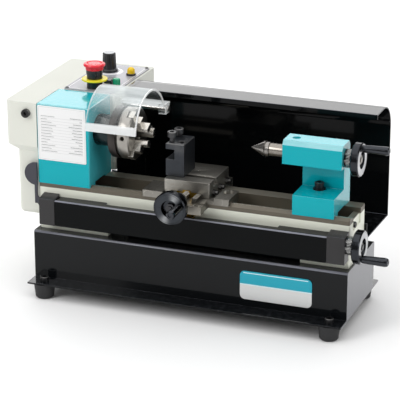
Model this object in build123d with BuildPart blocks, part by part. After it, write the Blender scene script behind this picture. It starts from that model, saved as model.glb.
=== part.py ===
from build123d import *
import math
import os

# Bench lathe. Millimetres, +Z up, +X from headstock to tailstock, +Y to the back.
# The origin is the middle of the stand's footprint, on the surface the feet stand on.
os.makedirs("parts", exist_ok=True)

# General clearances and sheet sizes
slide_gap = 0.3
running_fit = 0.05
cover_wall = 2.0

# Stand and feet
stand_length = 318.0
stand_depth = 88.4
stand_top = 63.6
stand_sheet = 1.6
stand_bend = 2.5
flange_depth = 18.5
foot_height = 14.5
foot_top_radius = 10.5
foot_tip_radius = 9.0
foot_inset = 14.0
foot_screw_radius = 2.0
foot_head_radius = 4.2
foot_head_height = 4.6
nameplate_width = 71.0
nameplate_height = 28.6
nameplate_center_x_from_stand_end = -69.5
nameplate_center_z = 37.8
nameplate_thickness = 1.0

# Bed
bed_length = 313.2
bed_front = -34.1
bed_width = 50.0
bed_floor_over_stand = 20.4
bed_height = 46.5
vee_height = 2.4
vee_half_width = 3.9
vee_flat = 0.8
front_rail_width = 12.0
rear_rail_width = 13.8
rail_top_from_ways = 1.3
channel_floor_from_ways = -13.1
end_web_top_from_ways = -3.1
end_web_length = 6.0
end_web_recess = 1.5
end_screw_radius = 2.9
end_screw_height = 3.3
bed_foot_left = 71.6
bed_foot_right = 47.1
bed_foot_wall = 9.0
clamp_slot_width = 8.4
clamp_slot_start_from_right_end = -116.6
bed_bolt_radius = 3.0
bed_bolt_inset = 22.0
bed_bolt_rise = 15.0

# Spindle line
center_height = 52.0
axis_y = -11.5
spindle_radius = 7.5
spindle_bore_radius = 5.0
spindle_collar_radius = 15.0
bearing_radius = 14.0
bearing_width = 8.0

# Headstock
headstock_length = 54.6
headstock_left_from_left_end = -0.6
headstock_rear = 16.9
headstock_lip = 0.5
label_width = 50.0
label_height = 54.4
label_thickness = 0.6

# Chuck
chuck_radius = 25.0
chuck_groove_radius = 22.8
backplate_back_past_headstock = 19.3
backplate_thickness = 7.7
chuck_groove_width = 2.6
chuck_length = 14.1
chuck_bore_radius = 7.0
key_hole_radius = 2.1
jaw_angle = 116.0
jaw_width = 9.0
jaw_slot_depth = 5.5
jaw_inner_radius = 5.6
jaw_step_radii = (11.5, 18.5, 24.8)
jaw_step_heights = (13.0, 7.0, 1.4)
scroll_tooth_pitch = 2.6

# Chuck guard
guard_center_y = -8.0
guard_center_z_from_axis = 4.6
guard_radius = 38.5
guard_wall = 2.0
guard_left_past_headstock = 0.8
guard_right_past_headstock = 52.6
guard_front_edge_from_axis = 8.6
guard_flange_z_from_axis = 16.1
guard_rear = 42.0
guard_notch_y = 14.0
hinge_y = 36.0
hinge_z_from_axis = 12.1
hinge_rod_radius = 3.0
guard_lug_width = 8.0

# Belt cover and control box
cover_left_from_headstock = -32.5
cover_front = -35.0
cover_rear = 120.0
cover_top_from_axis = 26.4
cover_bottom_over_stand = 11.4
cover_step_z_from_axis = -17.4
cover_step_drop = 6.0
cover_step_side = 9.2
cover_step_front = 4.0
cover_corner = 5.0
cover_screw_inset = 10.3
box_right_past_headstock = 5.1
box_bottom_from_ways = 2.9
panel_thickness = 1.2
panel_left_from_headstock = 5.2
panel_right_past_headstock = 3.0
panel_rear = 112.0
motor_y = 74.0
motor_z_from_axis = -13.4
motor_radius = 27.0
motor_length = 46.0
pulley_center_x_from_headstock = -11.8
belt_width = 8.0
belt_thickness = 2.0
spindle_pulley_radius = 17.0
motor_pulley_radius = 8.0
pulley_flange = 1.5

# Controls on the panel
estop_x_from_headstock = 33.0
estop_y = 30.0
estop_radius = 7.7
estop_disc_radius = 12.7
mushroom_radius = 10.75
mushroom_height = 10.4
mushroom_scallops = 9
scallop_radius = 1.5
switch_offset = 8.3
switch_width = 6.9
switch_front = 33.0
switch_depth = 14.0
switch_height = 7.5
knob_x_from_headstock = 23.7
knob_y = 88.0
knob_radius = 6.9
knob_height = 19.0
green_x_past_headstock = -1.9
green_y = 38.0
green_radius = 3.7
lamp_x_past_headstock = -4.9
lamp_y = 82.0
lamp_radius = 3.9
lamp_bezel = 1.1

# Splash guard
splash_left_past_headstock = 11.6
splash_right_from_right_end = 2.4
splash_sheet = 1.2
splash_lip_y = 42.0
splash_top_from_axis = 27.1
splash_wall_y = 91.0
splash_corner = 25.0
splash_tray_z_over_stand = 9.4
splash_hem = 5.0
splash_flange = 16.0

# Leadscrew line
lead_y = -40.4
lead_z_from_cover_top = -8.5
lead_radius = 4.0
lead_cover_front = -46.8
lead_cover_top_from_ways = -12.1
lead_cover_bottom_over_stand = 7.7
lead_cover_left_from_left_end = 21.2
lead_cover_right_from_right_end = -17.8
lead_cover_sheet = 1.2
nut_slot_inset = 50.0
bracket_left_length = 16.0
bracket_right_length = 17.5
bracket_top_from_ways = -9.4

# Carriage
carriage_x = -4.2
saddle_width = 44.8
saddle_front = -46.0
saddle_rear = 34.0
saddle_top_from_ways = 4.0
saddle_bottom_from_ways = -4.1
wing_half_length = 43.6
wing_front = -36.4
wing_rear = -8.0
wing_top_from_ways = 6.9
dovetail_width = 31.0
dovetail_top_from_ways = 8.1
dovetail_slope = 2.4
nut_channel_width = 20.6
nut_channel_floor_from_ways = 3.0

# Cross slide, its screw and the tool post
slide_width = 45.6
slide_front = -32.3
slide_rear = 21.5
slide_top_from_ways = 19.1
tee_slot_y = -16.0
tee_slot_width = 5.4
tee_slot_wide = 9.4
tee_slot_depth = 6.4
tee_slot_neck = 2.8
cross_screw_z_from_ways = 6.5
cross_screw_radius = 3.0
cross_bearing_depth = 8.0
cross_bearing_bottom_from_ways = -5.1
cross_bearing_top_from_ways = 2.9
cross_boss_radius = 7.0
cross_boss_depth = 5.0
cross_wheel_spacing = 7.5
gib_screw_radius = 2.0
gib_reach = 5.2
post_left_from_carriage = -24.6
post_width = 18.6
post_front = -23.2
post_depth = 28.6
post_height = 32.4
post_slot_bottom = 16.6
post_slot_height = 9.8
post_slot_depth = 8.8
clamp_screw_radius = 2.5
clamp_head_radius = 4.6
tee_bolt_radius = 2.4
tee_head_radius = 4.1
tee_foot_radius = 4.4

# Tailstock
tail_foot_left_from_right_end = -55.6
tail_foot_right_from_right_end = -15.2
tail_foot_top_from_ways = 19.5
tail_neck_front = -4.0
barrel_left_from_right_end = -69.2
barrel_right_from_right_end = -11.6
barrel_width = 26.0
barrel_bottom_from_axis = -8.2
barrel_top_from_axis = 14.4
barrel_chamfer = 4.2
quill_radius = 6.0
quill_nose_from_right_end = -85.4
quill_length = 54.0
center_radius = 8.3
center_point_from_right_end = -104.2
center_collar = 3.9
tail_screw_radius = 3.0
tail_thread_length = 37.0
tail_collar_inset = 7.5
tail_cap_thickness = 5.0
oil_hole_inset = 9.8
lock_screw_rise = 7.1
lock_x_from_right_end = -37.1
lock_y = -10.0
lock_radius = 3.0

# Handwheels and dials
dial_radius = 8.8
dial_length = 7.0
wheel_radius = 16.0
wheel_rim = 7.6
wheel_hub_radius = 6.0
wheel_hub_length = 0.6
wheel_face_radius = 8.3
wheel_recess = 4.0
wheel_nut_radius = 5.0
wheel_nut_height = 2.6
crank_radius = 11.0
handle_radius = 4.3
handle_neck_radius = 3.1
handle_length = 25.5
handle_pin_radius = 1.6

# Feed lever
lever_x_from_headstock = 2.7
lever_hub = 2.6
lever_z_over_bed_floor = 5.0
lever_front = -36.6
lever_thickness = 2.2
paddle_left_from_headstock = -13.6
paddle_radius = 11.4
paddle_z_from_ways = 8.9

# Values worked out from the ones above
bed_end = bed_length / 2
stand_end = stand_length / 2
vee_base = stand_top + bed_height
bed_floor = stand_top + bed_floor_over_stand
cover_bottom = stand_top + cover_bottom_over_stand
splash_tray_z = stand_top + splash_tray_z_over_stand
lead_cover_bottom = stand_top + lead_cover_bottom_over_stand
rail_top = vee_base + rail_top_from_ways
channel_floor = vee_base + channel_floor_from_ways
end_web_top = vee_base + end_web_top_from_ways
box_bottom = vee_base + box_bottom_from_ways
lead_cover_top = vee_base + lead_cover_top_from_ways
bracket_top = vee_base + bracket_top_from_ways
saddle_top = vee_base + saddle_top_from_ways
saddle_bottom = vee_base + saddle_bottom_from_ways
wing_top = vee_base + wing_top_from_ways
dovetail_top = vee_base + dovetail_top_from_ways
nut_channel_floor = vee_base + nut_channel_floor_from_ways
slide_top = vee_base + slide_top_from_ways
cross_screw_z = vee_base + cross_screw_z_from_ways
cross_bearing_bottom = vee_base + cross_bearing_bottom_from_ways
cross_bearing_top = vee_base + cross_bearing_top_from_ways
tail_foot_top = vee_base + tail_foot_top_from_ways
paddle_z = vee_base + paddle_z_from_ways
lead_z = lead_cover_top + lead_z_from_cover_top
lever_z = bed_floor + lever_z_over_bed_floor
axis_z = rail_top + center_height
guard_center_z = axis_z + guard_center_z_from_axis
guard_front_edge = axis_z + guard_front_edge_from_axis
guard_flange_z = axis_z + guard_flange_z_from_axis
hinge_z = axis_z + hinge_z_from_axis
cover_top = axis_z + cover_top_from_axis
cover_step_z = axis_z + cover_step_z_from_axis
motor_z = axis_z + motor_z_from_axis
splash_top = axis_z + splash_top_from_axis
barrel_bottom = axis_z + barrel_bottom_from_axis
barrel_top = axis_z + barrel_top_from_axis
headstock_left = headstock_left_from_left_end - bed_end
lead_cover_left = lead_cover_left_from_left_end - bed_end
headstock_right = headstock_left + headstock_length
cover_left = headstock_left + cover_left_from_headstock
panel_left = headstock_left + panel_left_from_headstock
pulley_center_x = headstock_left + pulley_center_x_from_headstock
estop_x = headstock_left + estop_x_from_headstock
knob_x = headstock_left + knob_x_from_headstock
lever_x = headstock_left + lever_x_from_headstock
paddle_left = headstock_left + paddle_left_from_headstock
backplate_back = headstock_right + backplate_back_past_headstock
guard_left = headstock_right + guard_left_past_headstock
guard_right = headstock_right + guard_right_past_headstock
box_right = headstock_right + box_right_past_headstock
panel_right = headstock_right + panel_right_past_headstock
green_x = headstock_right + green_x_past_headstock
lamp_x = headstock_right + lamp_x_past_headstock
splash_left = headstock_right + splash_left_past_headstock
splash_right = bed_end + splash_right_from_right_end
lead_cover_right = bed_end + lead_cover_right_from_right_end
tail_foot_left = bed_end + tail_foot_left_from_right_end
tail_foot_right = bed_end + tail_foot_right_from_right_end
barrel_left = bed_end + barrel_left_from_right_end
barrel_right = bed_end + barrel_right_from_right_end
quill_nose = bed_end + quill_nose_from_right_end
center_point = bed_end + center_point_from_right_end
lock_x = bed_end + lock_x_from_right_end
clamp_slot_start = bed_end + clamp_slot_start_from_right_end
post_left = carriage_x + post_left_from_carriage
nameplate_center_x = stand_end + nameplate_center_x_from_stand_end
bed_rear = bed_front + bed_width
headstock_front = bed_front - headstock_lip
web_face = bed_end - end_web_recess
rear_rail_front = bed_rear - rear_rail_width
front_rail_rear = bed_front + front_rail_width
end_screw_y = front_rail_rear + end_screw_radius + 0.3
end_screw_z = end_web_top - end_screw_radius - 1.8
backplate_front = backplate_back + backplate_thickness
chuck_front = backplate_front + chuck_length
panel_top = cover_top + panel_thickness
panel_front = headstock_rear + 1.2
foot_y = stand_depth / 2 + flange_depth / 2 - 0.1
foot_x = stand_end - foot_inset

spindle_line = Plane(origin=(0, axis_y, axis_z), x_dir=(0, 1, 0), z_dir=(1, 0, 0))
lead_line = Plane(origin=(0, lead_y, lead_z), x_dir=(0, 1, 0), z_dir=(1, 0, 0))
cross_line = Plane(origin=(carriage_x, 0, cross_screw_z), x_dir=(1, 0, 0), z_dir=(0, -1, 0))
motor_line = Plane(origin=(0, motor_y, motor_z), x_dir=(0, 1, 0), z_dir=(1, 0, 0))


def turn(base, outline, mode=Mode.ADD):
    # Revolves (radius, distance) points about the base plane's normal.
    side = Plane(origin=base.origin, x_dir=base.x_dir, z_dir=-base.y_dir)
    with BuildSketch(side) as section:
        with BuildLine():
            Polyline(*outline, close=True)
        make_face()
    revolve(section.sketch, axis=Axis(base.origin, base.z_dir), mode=mode)


def rod(base, radius, start, end, inner=0.0, mode=Mode.ADD):
    # A round bar or tube along the base plane's normal.
    turn(base, [(inner, start), (radius, start), (radius, end), (inner, end)], mode)


def block(x_range, y_range, z_range, mode=Mode.ADD):
    # A rectangular block between the given limits.
    sizes = [high - low for low, high in (x_range, y_range, z_range)]
    middle = [(high + low) / 2 for low, high in (x_range, y_range, z_range)]
    with Locations(tuple(middle)):
        Box(*sizes, mode=mode)


def upright(x, y, z=0.0):
    # A plane facing up at the given point, for turned pieces that stand.
    return Plane(origin=(x, y, z), x_dir=(1, 0, 0), z_dir=(0, 0, 1))


def prism(plane, outline, length, mode=Mode.ADD):
    # Extrudes a straight-sided outline from its plane.
    with BuildSketch(plane) as section:
        with BuildLine():
            Polyline(*outline, close=True)
        make_face()
    extrude(section.sketch, amount=length, mode=mode)


def socket(base, radius, top, depth):
    # The hexagonal drive in a cap screw's head.
    with BuildSketch(base.offset(top)) as drive:
        RegularPolygon(radius, 6)
    extrude(drive.sketch, amount=-depth, mode=Mode.SUBTRACT)


def ways_outline(clearance):
    # The top of the bed in section, from front to back, grown by a clearance.
    vee_middle = bed_front + vee_half_width
    return [
        (bed_front - clearance, vee_base + clearance),
        (vee_middle - vee_flat / 2, vee_base + vee_height + clearance),
        (vee_middle + vee_flat / 2, vee_base + vee_height + clearance),
        (vee_middle + vee_half_width, vee_base + clearance),
        (front_rail_rear + clearance, vee_base + clearance),
    ]


def ways_cut(x_range, clearance, floor):
    # Cuts the room for both rails out of a piece that rides on the bed.
    length = x_range[1] - x_range[0]
    start = Plane.YZ.offset(x_range[0])
    front = ways_outline(clearance)
    front_box = [(bed_front - clearance, floor)] + front + [(front_rail_rear + clearance, floor)]
    prism(start, front_box, length, Mode.SUBTRACT)
    rear_box = [
        (rear_rail_front - clearance, floor),
        (rear_rail_front - clearance, rail_top + clearance),
        (bed_rear + clearance, rail_top + clearance),
        (bed_rear + clearance, floor),
    ]
    prism(start, rear_box, length, Mode.SUBTRACT)


def save(builder, name):
    # Labels the finished piece and writes its file.
    builder.part.label = name
    export_step(builder.part, f"parts/{name}.step")


# ---- Stand, feet and plate ----
with BuildPart() as base_stand:
    with BuildSketch(Plane.YZ.offset(-stand_end)):
        with Locations((0, (stand_top + foot_height) / 2)):
            Rectangle(stand_depth, stand_top - foot_height)
        with Locations((0, foot_height + stand_sheet / 2)):
            Rectangle(stand_depth + 2 * flange_depth, stand_sheet)
    extrude(amount=stand_length)
    long_edges = base_stand.edges().filter_by(Axis.X)
    fillet(long_edges.group_by(Axis.Z)[-1], radius=stand_bend)
    with BuildSketch(Plane.YZ.offset(-stand_end + stand_sheet)):
        with Locations((0, (stand_top - stand_sheet) / 2)):
            Rectangle(stand_depth - 2 * stand_sheet, stand_top - stand_sheet)
    extrude(amount=stand_length - 2 * stand_sheet, mode=Mode.SUBTRACT)
    with Locations((0, 0, foot_height + stand_sheet)):
        with GridLocations(2 * foot_x, 2 * foot_y, 2, 2):
            Hole(foot_screw_radius + 0.2, depth=stand_sheet)
    with Locations((0, (bed_front + bed_rear) / 2, stand_top)):
        with GridLocations(2 * (bed_end - bed_bolt_inset), bed_width - bed_foot_wall, 2, 2):
            Hole(bed_bolt_radius + 0.2, depth=stand_sheet)
save(base_stand, "base_stand")

with BuildPart() as rubber_feet:
    for side_x in (-foot_x, foot_x):
        for side_y in (-foot_y, foot_y):
            turn(upright(side_x, side_y), [
                (0, 0), (foot_tip_radius - 1.2, 0), (foot_tip_radius, 1.2), (foot_top_radius, foot_height),
                (foot_screw_radius, foot_height), (foot_screw_radius, 4.0), (0, 4.0),
            ])
save(rubber_feet, "rubber_feet")

with BuildPart() as nameplate:
    with BuildSketch(Plane.XZ.offset(stand_depth / 2)):
        with Locations((nameplate_center_x, nameplate_center_z)):
            RectangleRounded(nameplate_width, nameplate_height, 5.0)
    extrude(amount=nameplate_thickness)
save(nameplate, "nameplate")

# ---- Bed ----
with BuildPart() as bed:
    section = [(bed_front, bed_floor)] + ways_outline(0.0) + [
        (front_rail_rear, channel_floor), (rear_rail_front, channel_floor),
        (rear_rail_front, rail_top), (bed_rear, rail_top), (bed_rear, bed_floor),
    ]
    prism(Plane.YZ.offset(-bed_end), section, bed_length)
    web_y = (front_rail_rear, rear_rail_front)
    block((web_face - end_web_length, web_face), web_y, (channel_floor, end_web_top))
    block((-bed_end, -bed_end + end_web_length), web_y, (channel_floor, end_web_top))
    full_y = (bed_front, bed_rear)
    under_y = (bed_front + bed_foot_wall, bed_rear - bed_foot_wall)
    for start, end in ((-bed_end, -bed_end + bed_foot_left), (bed_end - bed_foot_right, bed_end)):
        block((start, end), full_y, (stand_top, bed_floor))
    block((-bed_end + bed_foot_wall, bed_end - bed_foot_wall), under_y, (stand_top, bed_floor), Mode.SUBTRACT)
    slot_y = (lock_y - clamp_slot_width / 2, lock_y + clamp_slot_width / 2)
    block((clamp_slot_start, bed_end - 2 * end_web_length), slot_y, (bed_floor, channel_floor), Mode.SUBTRACT)
    bolt_y = (bed_width - bed_foot_wall) / 2
    for side_x in (-bed_end + bed_bolt_inset, bed_end - bed_bolt_inset):
        for side_y in (-bolt_y, bolt_y):
            hole = upright(side_x, (bed_front + bed_rear) / 2 + side_y, stand_top)
            rod(hole, bed_bolt_radius + running_fit, 0, bed_bolt_rise + 1.0, mode=Mode.SUBTRACT)
    lever_hole = Plane(origin=(lever_x, bed_front, lever_z), x_dir=(1, 0, 0), z_dir=(0, 1, 0))
    rod(lever_hole, 1.5 + running_fit, 0, 8.0, mode=Mode.SUBTRACT)
    foot_ends = bed.edges().filter_by(Axis.Z).group_by(Axis.X)
    fillet([edge for edge in foot_ends[0] + foot_ends[-1] if edge.length > 40], radius=1.5)
save(bed, "bed")

with BuildPart() as stand_bolts:
    seat = foot_height + stand_sheet
    for side_x in (-foot_x, foot_x):
        for side_y in (-foot_y, foot_y):
            base = upright(side_x, side_y, seat)
            turn(base, [
                (0, 5.0 - seat), (foot_screw_radius, 5.0 - seat), (foot_screw_radius, 0),
                (foot_head_radius, 0), (foot_head_radius, foot_head_height - 0.5),
                (foot_head_radius - 0.5, foot_head_height), (0, foot_head_height),
            ])
            socket(base, foot_head_radius / 2, foot_head_height, 2.4)
    head = stand_top - stand_sheet
    for side_x in (-bed_end + bed_bolt_inset, bed_end - bed_bolt_inset):
        for side_y in (-bolt_y, bolt_y):
            base = upright(side_x, (bed_front + bed_rear) / 2 + side_y, head)
            turn(base, [
                (0, -5.0), (5.0, -5.0), (5.0, 0), (bed_bolt_radius, 0),
                (bed_bolt_radius, stand_sheet + bed_bolt_rise), (0, stand_sheet + bed_bolt_rise),
            ])
    end_line = Plane(origin=(web_face, end_screw_y, end_screw_z), x_dir=(0, 1, 0), z_dir=(1, 0, 0))
    turn(end_line, [
        (0, 0), (end_screw_radius, 0), (end_screw_radius, end_screw_height - 0.4),
        (end_screw_radius - 0.4, end_screw_height), (0, end_screw_height),
    ])
    socket(end_line, end_screw_radius / 2, end_screw_height, 1.8)
save(stand_bolts, "stand_bolts")

# ---- Splash guard ----
with BuildPart() as splash_guard:
    with BuildSketch(Plane.YZ.offset(splash_left)) as sheet:
        with BuildLine() as path:
            corner_y = splash_wall_y - splash_corner
            corner_z = splash_top - splash_corner
            lip_hem = Line((splash_lip_y, splash_top - splash_hem), (splash_lip_y, splash_top))
            lip = Line(lip_hem @ 1, (corner_y, splash_top))
            bend = RadiusArc(lip @ 1, (splash_wall_y, corner_z), splash_corner)
            wall = Line(bend @ 1, (splash_wall_y, splash_tray_z))
            tray = Line(wall @ 1, (bed_rear, splash_tray_z + 2.0))
            Line(tray @ 1, (bed_rear, splash_tray_z + 2.0 + splash_flange))
            offset(amount=splash_sheet, side=Side.RIGHT)
        make_face()
    extrude(amount=splash_right - splash_left)
save(splash_guard, "splash_guard")

# ---- Headstock and spindle bearings ----
with BuildPart() as headstock:
    outline = [(headstock_front, vee_base)] + ways_outline(0.0) + [
        (front_rail_rear, rail_top + 1.8), (rear_rail_front, rail_top + 1.8),
        (rear_rail_front, rail_top), (headstock_rear, rail_top),
        (headstock_rear, cover_top), (headstock_front, cover_top),
    ]
    prism(Plane.YZ.offset(headstock_left), outline, headstock_length)
    upright_edges = headstock.edges().filter_by(Axis.Z)
    fillet(upright_edges.group_by(Axis.Y)[0], radius=1.6)
    fillet(headstock.faces().sort_by(Axis.Z)[-1].edges().sort_by(Axis.Y)[0], radius=1.0)
    rod(spindle_line, bearing_radius - 2.0, headstock_left, headstock_right, mode=Mode.SUBTRACT)
    rod(spindle_line, bearing_radius, headstock_left, headstock_left + bearing_width, mode=Mode.SUBTRACT)
    rod(spindle_line, bearing_radius, headstock_right - bearing_width, headstock_right, mode=Mode.SUBTRACT)
save(headstock, "headstock")

with BuildPart() as data_label:
    with BuildSketch(Plane.XZ.offset(-headstock_front)):
        with Locations((headstock_left + headstock_length / 2 - 1.0, cover_top - label_height / 2 - 1.2)):
            RectangleRounded(label_width, label_height, 1.0)
    extrude(amount=label_thickness)
save(data_label, "data_label")

with BuildPart() as spindle_bearings:
    for start in (headstock_left, headstock_right - bearing_width):
        inner = spindle_radius + running_fit
        turn(spindle_line, [
            (inner, start), (bearing_radius, start), (bearing_radius, start + bearing_width),
            (inner, start + bearing_width),
        ])
save(spindle_bearings, "spindle_bearings")


# ---- Belt cover, control box and panel ----
def cover_form(inset, right, mode=Mode.ADD):
    # The stepped cover: a wide upper box, a sloping shoulder and a narrower lower box.
    left = cover_left + inset
    front = cover_front + inset
    rear = cover_rear - inset
    low_left = left + cover_step_side
    low_front = front + cover_step_front
    shoulder = cover_step_z - cover_step_drop
    bottom = cover_bottom + inset
    corner = cover_corner - inset / 2
    upper_plane = Plane.XY.offset(cover_step_z)
    with BuildSketch(upper_plane) as upper:
        with Locations(((left + right) / 2, (front + rear) / 2)):
            Rectangle(right - left, rear - front)
        fillet(upper.vertices().group_by(Axis.X)[0], radius=corner)
    with BuildSketch(Plane.XY.offset(shoulder)) as lower:
        with Locations(((low_left + right) / 2, (low_front + rear) / 2)):
            Rectangle(right - low_left, rear - low_front)
        fillet(lower.vertices().group_by(Axis.X)[0], radius=corner)
    extrude(upper.sketch, amount=cover_top - inset - cover_step_z, mode=mode)
    loft([upper.sketch.faces()[0], lower.sketch.faces()[0]], mode=mode)
    extrude(lower.sketch, amount=bottom - shoulder, mode=mode)


with BuildPart() as belt_cover:
    cover_form(0.0, headstock_left)
    bottom_edges = belt_cover.faces().sort_by(Axis.Z)[0].edges()
    fillet(bottom_edges.filter_by(Axis.Y).sort_by(Axis.X)[0], radius=cover_corner)
    cover_form(cover_wall, headstock_left - cover_wall, Mode.SUBTRACT)
    window_x = (headstock_left - cover_wall - 0.1, headstock_left)
    window_y = (headstock_front + 4.0, cover_rear - 4.0)
    block(window_x, window_y, (box_bottom + 4.0, cover_top - 4.0), Mode.SUBTRACT)
save(belt_cover, "belt_cover")

with BuildPart() as cover_screws:
    screw_x = headstock_left - cover_screw_inset
    screw_z = cover_top - cover_screw_inset
    for base in (
        Plane(origin=(screw_x, cover_front, screw_z), x_dir=(1, 0, 0), z_dir=(0, -1, 0)),
        Plane(origin=(screw_x, cover_rear, screw_z), x_dir=(1, 0, 0), z_dir=(0, 1, 0)),
    ):
        rod(base, 4.2, 0, 3.6)
        socket(base, 2.1, 3.6, 2.2)
    for side_x in (panel_left + 2.4, panel_right - 2.4):
        for side_y in (panel_front + 2.4, panel_rear - 2.4):
            turn(upright(side_x, side_y, panel_top), [(0, 0), (2.0, 0), (1.2, 0.9), (0, 1.1)])
save(cover_screws, "cover_screws")

with BuildPart() as control_box:
    block((headstock_left, box_right), (headstock_rear, cover_rear), (box_bottom, cover_top))
    box_edges = control_box.edges().filter_by(Axis.Z).group_by(Axis.X)[-1]
    fillet(box_edges, radius=2.5)
    block(
        (headstock_left + cover_wall, box_right - cover_wall),
        (headstock_rear + cover_wall, cover_rear - cover_wall),
        (box_bottom + cover_wall, cover_top - cover_wall), Mode.SUBTRACT,
    )
    rod(motor_line, 11.0, headstock_left, headstock_left + cover_wall, mode=Mode.SUBTRACT)
    rod_hole = Plane(origin=(0, hinge_y, hinge_z), x_dir=(0, 1, 0), z_dir=(1, 0, 0))
    rod(rod_hole, hinge_rod_radius, box_right - cover_wall, box_right, mode=Mode.SUBTRACT)
    block(
        (panel_left + 4.0, panel_right - 2.0), (panel_front + 4.0, panel_rear - 4.0),
        (cover_top - cover_wall, cover_top), Mode.SUBTRACT,
    )
save(control_box, "control_box")

with BuildPart() as control_panel:
    with BuildSketch(Plane.XY.offset(cover_top)):
        with Locations(((panel_left + panel_right) / 2, (panel_front + panel_rear) / 2)):
            RectangleRounded(panel_right - panel_left, panel_rear - panel_front, 1.5)
        for hole_x, hole_y, hole_radius in (
            (estop_x, estop_y, estop_radius - 2.5), (knob_x, knob_y, 3.0 + running_fit),
            (green_x, green_y, 2.5 + running_fit), (lamp_x, lamp_y, lamp_radius - 1.0),
        ):
            with Locations((hole_x, hole_y)):
                Circle(hole_radius, mode=Mode.SUBTRACT)
    extrude(amount=panel_thickness)
save(control_panel, "control_panel")

# ---- Emergency stop, lamp, button and speed knob ----
disc_z = panel_top + 8.0
disc_top = disc_z + 1.6
neck_top = disc_top + 5.6
stem_radius = 4.0
with BuildPart() as estop_base:
    turn(upright(estop_x, estop_y), [
        (stem_radius + running_fit, cover_top - 8.0), (estop_radius - 2.5, cover_top - 8.0),
        (estop_radius - 2.5, panel_top), (estop_radius, panel_top),
        (estop_radius, disc_z), (estop_radius - 2.0, disc_z), (estop_radius - 2.0, disc_top),
        (estop_radius, disc_top), (estop_radius, neck_top - 0.6), (estop_radius - 0.6, neck_top),
        (stem_radius + running_fit, neck_top),
    ])
save(estop_base, "estop_base")

with BuildPart() as estop_collar:
    turn(upright(estop_x, estop_y), [
        (estop_radius - 2.0, disc_z), (estop_disc_radius, disc_z), (estop_disc_radius, disc_top - 0.4),
        (estop_disc_radius - 0.4, disc_top), (estop_radius - 2.0, disc_top),
    ])
save(estop_collar, "estop_collar")

with BuildPart() as switch_body:
    switch_x = (estop_x + switch_offset, estop_x + switch_offset + switch_width)
    block(switch_x, (switch_front, switch_front + switch_depth), (panel_top, panel_top + switch_height))
    chamfer(switch_body.faces().sort_by(Axis.Z)[-1].edges(), length=0.6)
    turn(upright(lamp_x, lamp_y, panel_top), [
        (lamp_radius, 0), (lamp_radius + lamp_bezel, 0), (lamp_radius + lamp_bezel, 1.4),
        (lamp_radius + 0.4, 2.0), (lamp_radius, 2.0),
    ])
save(switch_body, "switch_body")

with BuildPart() as emergency_button:
    skirt_z = disc_top + 4.9
    crown_z = skirt_z + mushroom_height
    inner = estop_radius + 0.5
    with BuildSketch(Plane.XZ) as profile:
        with BuildLine():
            edge = (mushroom_radius, crown_z - 3.4)
            crown = (mushroom_radius - 2.6, crown_z - 0.4)
            bend = ThreePointArc(edge, (mushroom_radius - 0.8, crown_z - 1.2), crown)
            Polyline(
                bend @ 1, (mushroom_radius - 3.4, crown_z - 0.8), (mushroom_radius - 4.2, crown_z - 0.2),
                (0, crown_z), (0, disc_z - 12.0), (stem_radius, disc_z - 12.0),
                (stem_radius, crown_z - 4.6), (inner, crown_z - 4.6), (inner, skirt_z),
                (inner + 0.9, skirt_z), (inner + 1.3, skirt_z + 3.2), (mushroom_radius, skirt_z + 5.6),
                bend @ 0,
            )
        make_face()
    revolve(axis=Axis.Z)
    for index in range(mushroom_scallops):
        angle = 2 * math.pi * index / mushroom_scallops
        spot = mushroom_radius + 0.5
        hollow = upright(spot * math.cos(angle), spot * math.sin(angle), skirt_z)
        rod(hollow, scallop_radius, 0, mushroom_height - 4.2, mode=Mode.SUBTRACT)
emergency_button.part.move(Location((estop_x, estop_y, 0)))
save(emergency_button, "emergency_button")

with BuildPart() as speed_knob:
    base = upright(knob_x, knob_y, panel_top + slide_gap)
    turn(base, [
        (0, -8.0), (3.0, -8.0), (3.0, 0), (knob_radius + 1.8, 0), (knob_radius + 1.6, 1.6),
        (knob_radius + 0.2, 2.6), (knob_radius - 0.3, knob_height - 0.8), (knob_radius - 1.1, knob_height),
        (0, knob_height),
    ])
    flutes = 14
    for index in range(flutes):
        angle = 2 * math.pi * index / flutes
        flute_x = knob_x + (knob_radius + 0.35) * math.cos(angle)
        flute_y = knob_y + (knob_radius + 0.35) * math.sin(angle)
        rod(upright(flute_x, flute_y, base.origin.Z), 0.85, 3.4, knob_height - 1.6, mode=Mode.SUBTRACT)
save(speed_knob, "speed_knob")

with BuildPart() as green_button:
    turn(upright(green_x, green_y, panel_top), [
        (0, -6.0), (2.5, -6.0), (2.5, 2.3), (green_radius, 2.3), (green_radius, 8.2),
        (green_radius - 0.9, 9.1), (0, 9.3),
    ])
save(green_button, "green_button")

with BuildPart() as power_lamp:
    with BuildSketch(Plane.XZ):
        with BuildLine():
            dome_z = panel_top + 4.4
            dome = RadiusArc((lamp_radius, dome_z), (0, dome_z + lamp_radius), -lamp_radius)
            Polyline(
                dome @ 1, (0, panel_top - 5.0), (lamp_radius - 1.0, panel_top - 5.0),
                (lamp_radius - 1.0, panel_top), (lamp_radius, panel_top), dome @ 0,
            )
        make_face()
    revolve(axis=Axis.Z)
power_lamp.part.move(Location((lamp_x, lamp_y, 0)))
save(power_lamp, "power_lamp")

# ---- Motor, pulleys and belt ----
with BuildPart() as motor:
    face_x = headstock_left + cover_wall
    turn(motor_line, [
        (4.0 + running_fit, face_x), (motor_radius, face_x), (motor_radius, face_x + motor_length - 4.0),
        (motor_radius - 4.0, face_x + motor_length), (0, face_x + motor_length),
        (0, face_x + 26.0), (4.0 + running_fit, face_x + 26.0),
    ])
save(motor, "motor")


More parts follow.
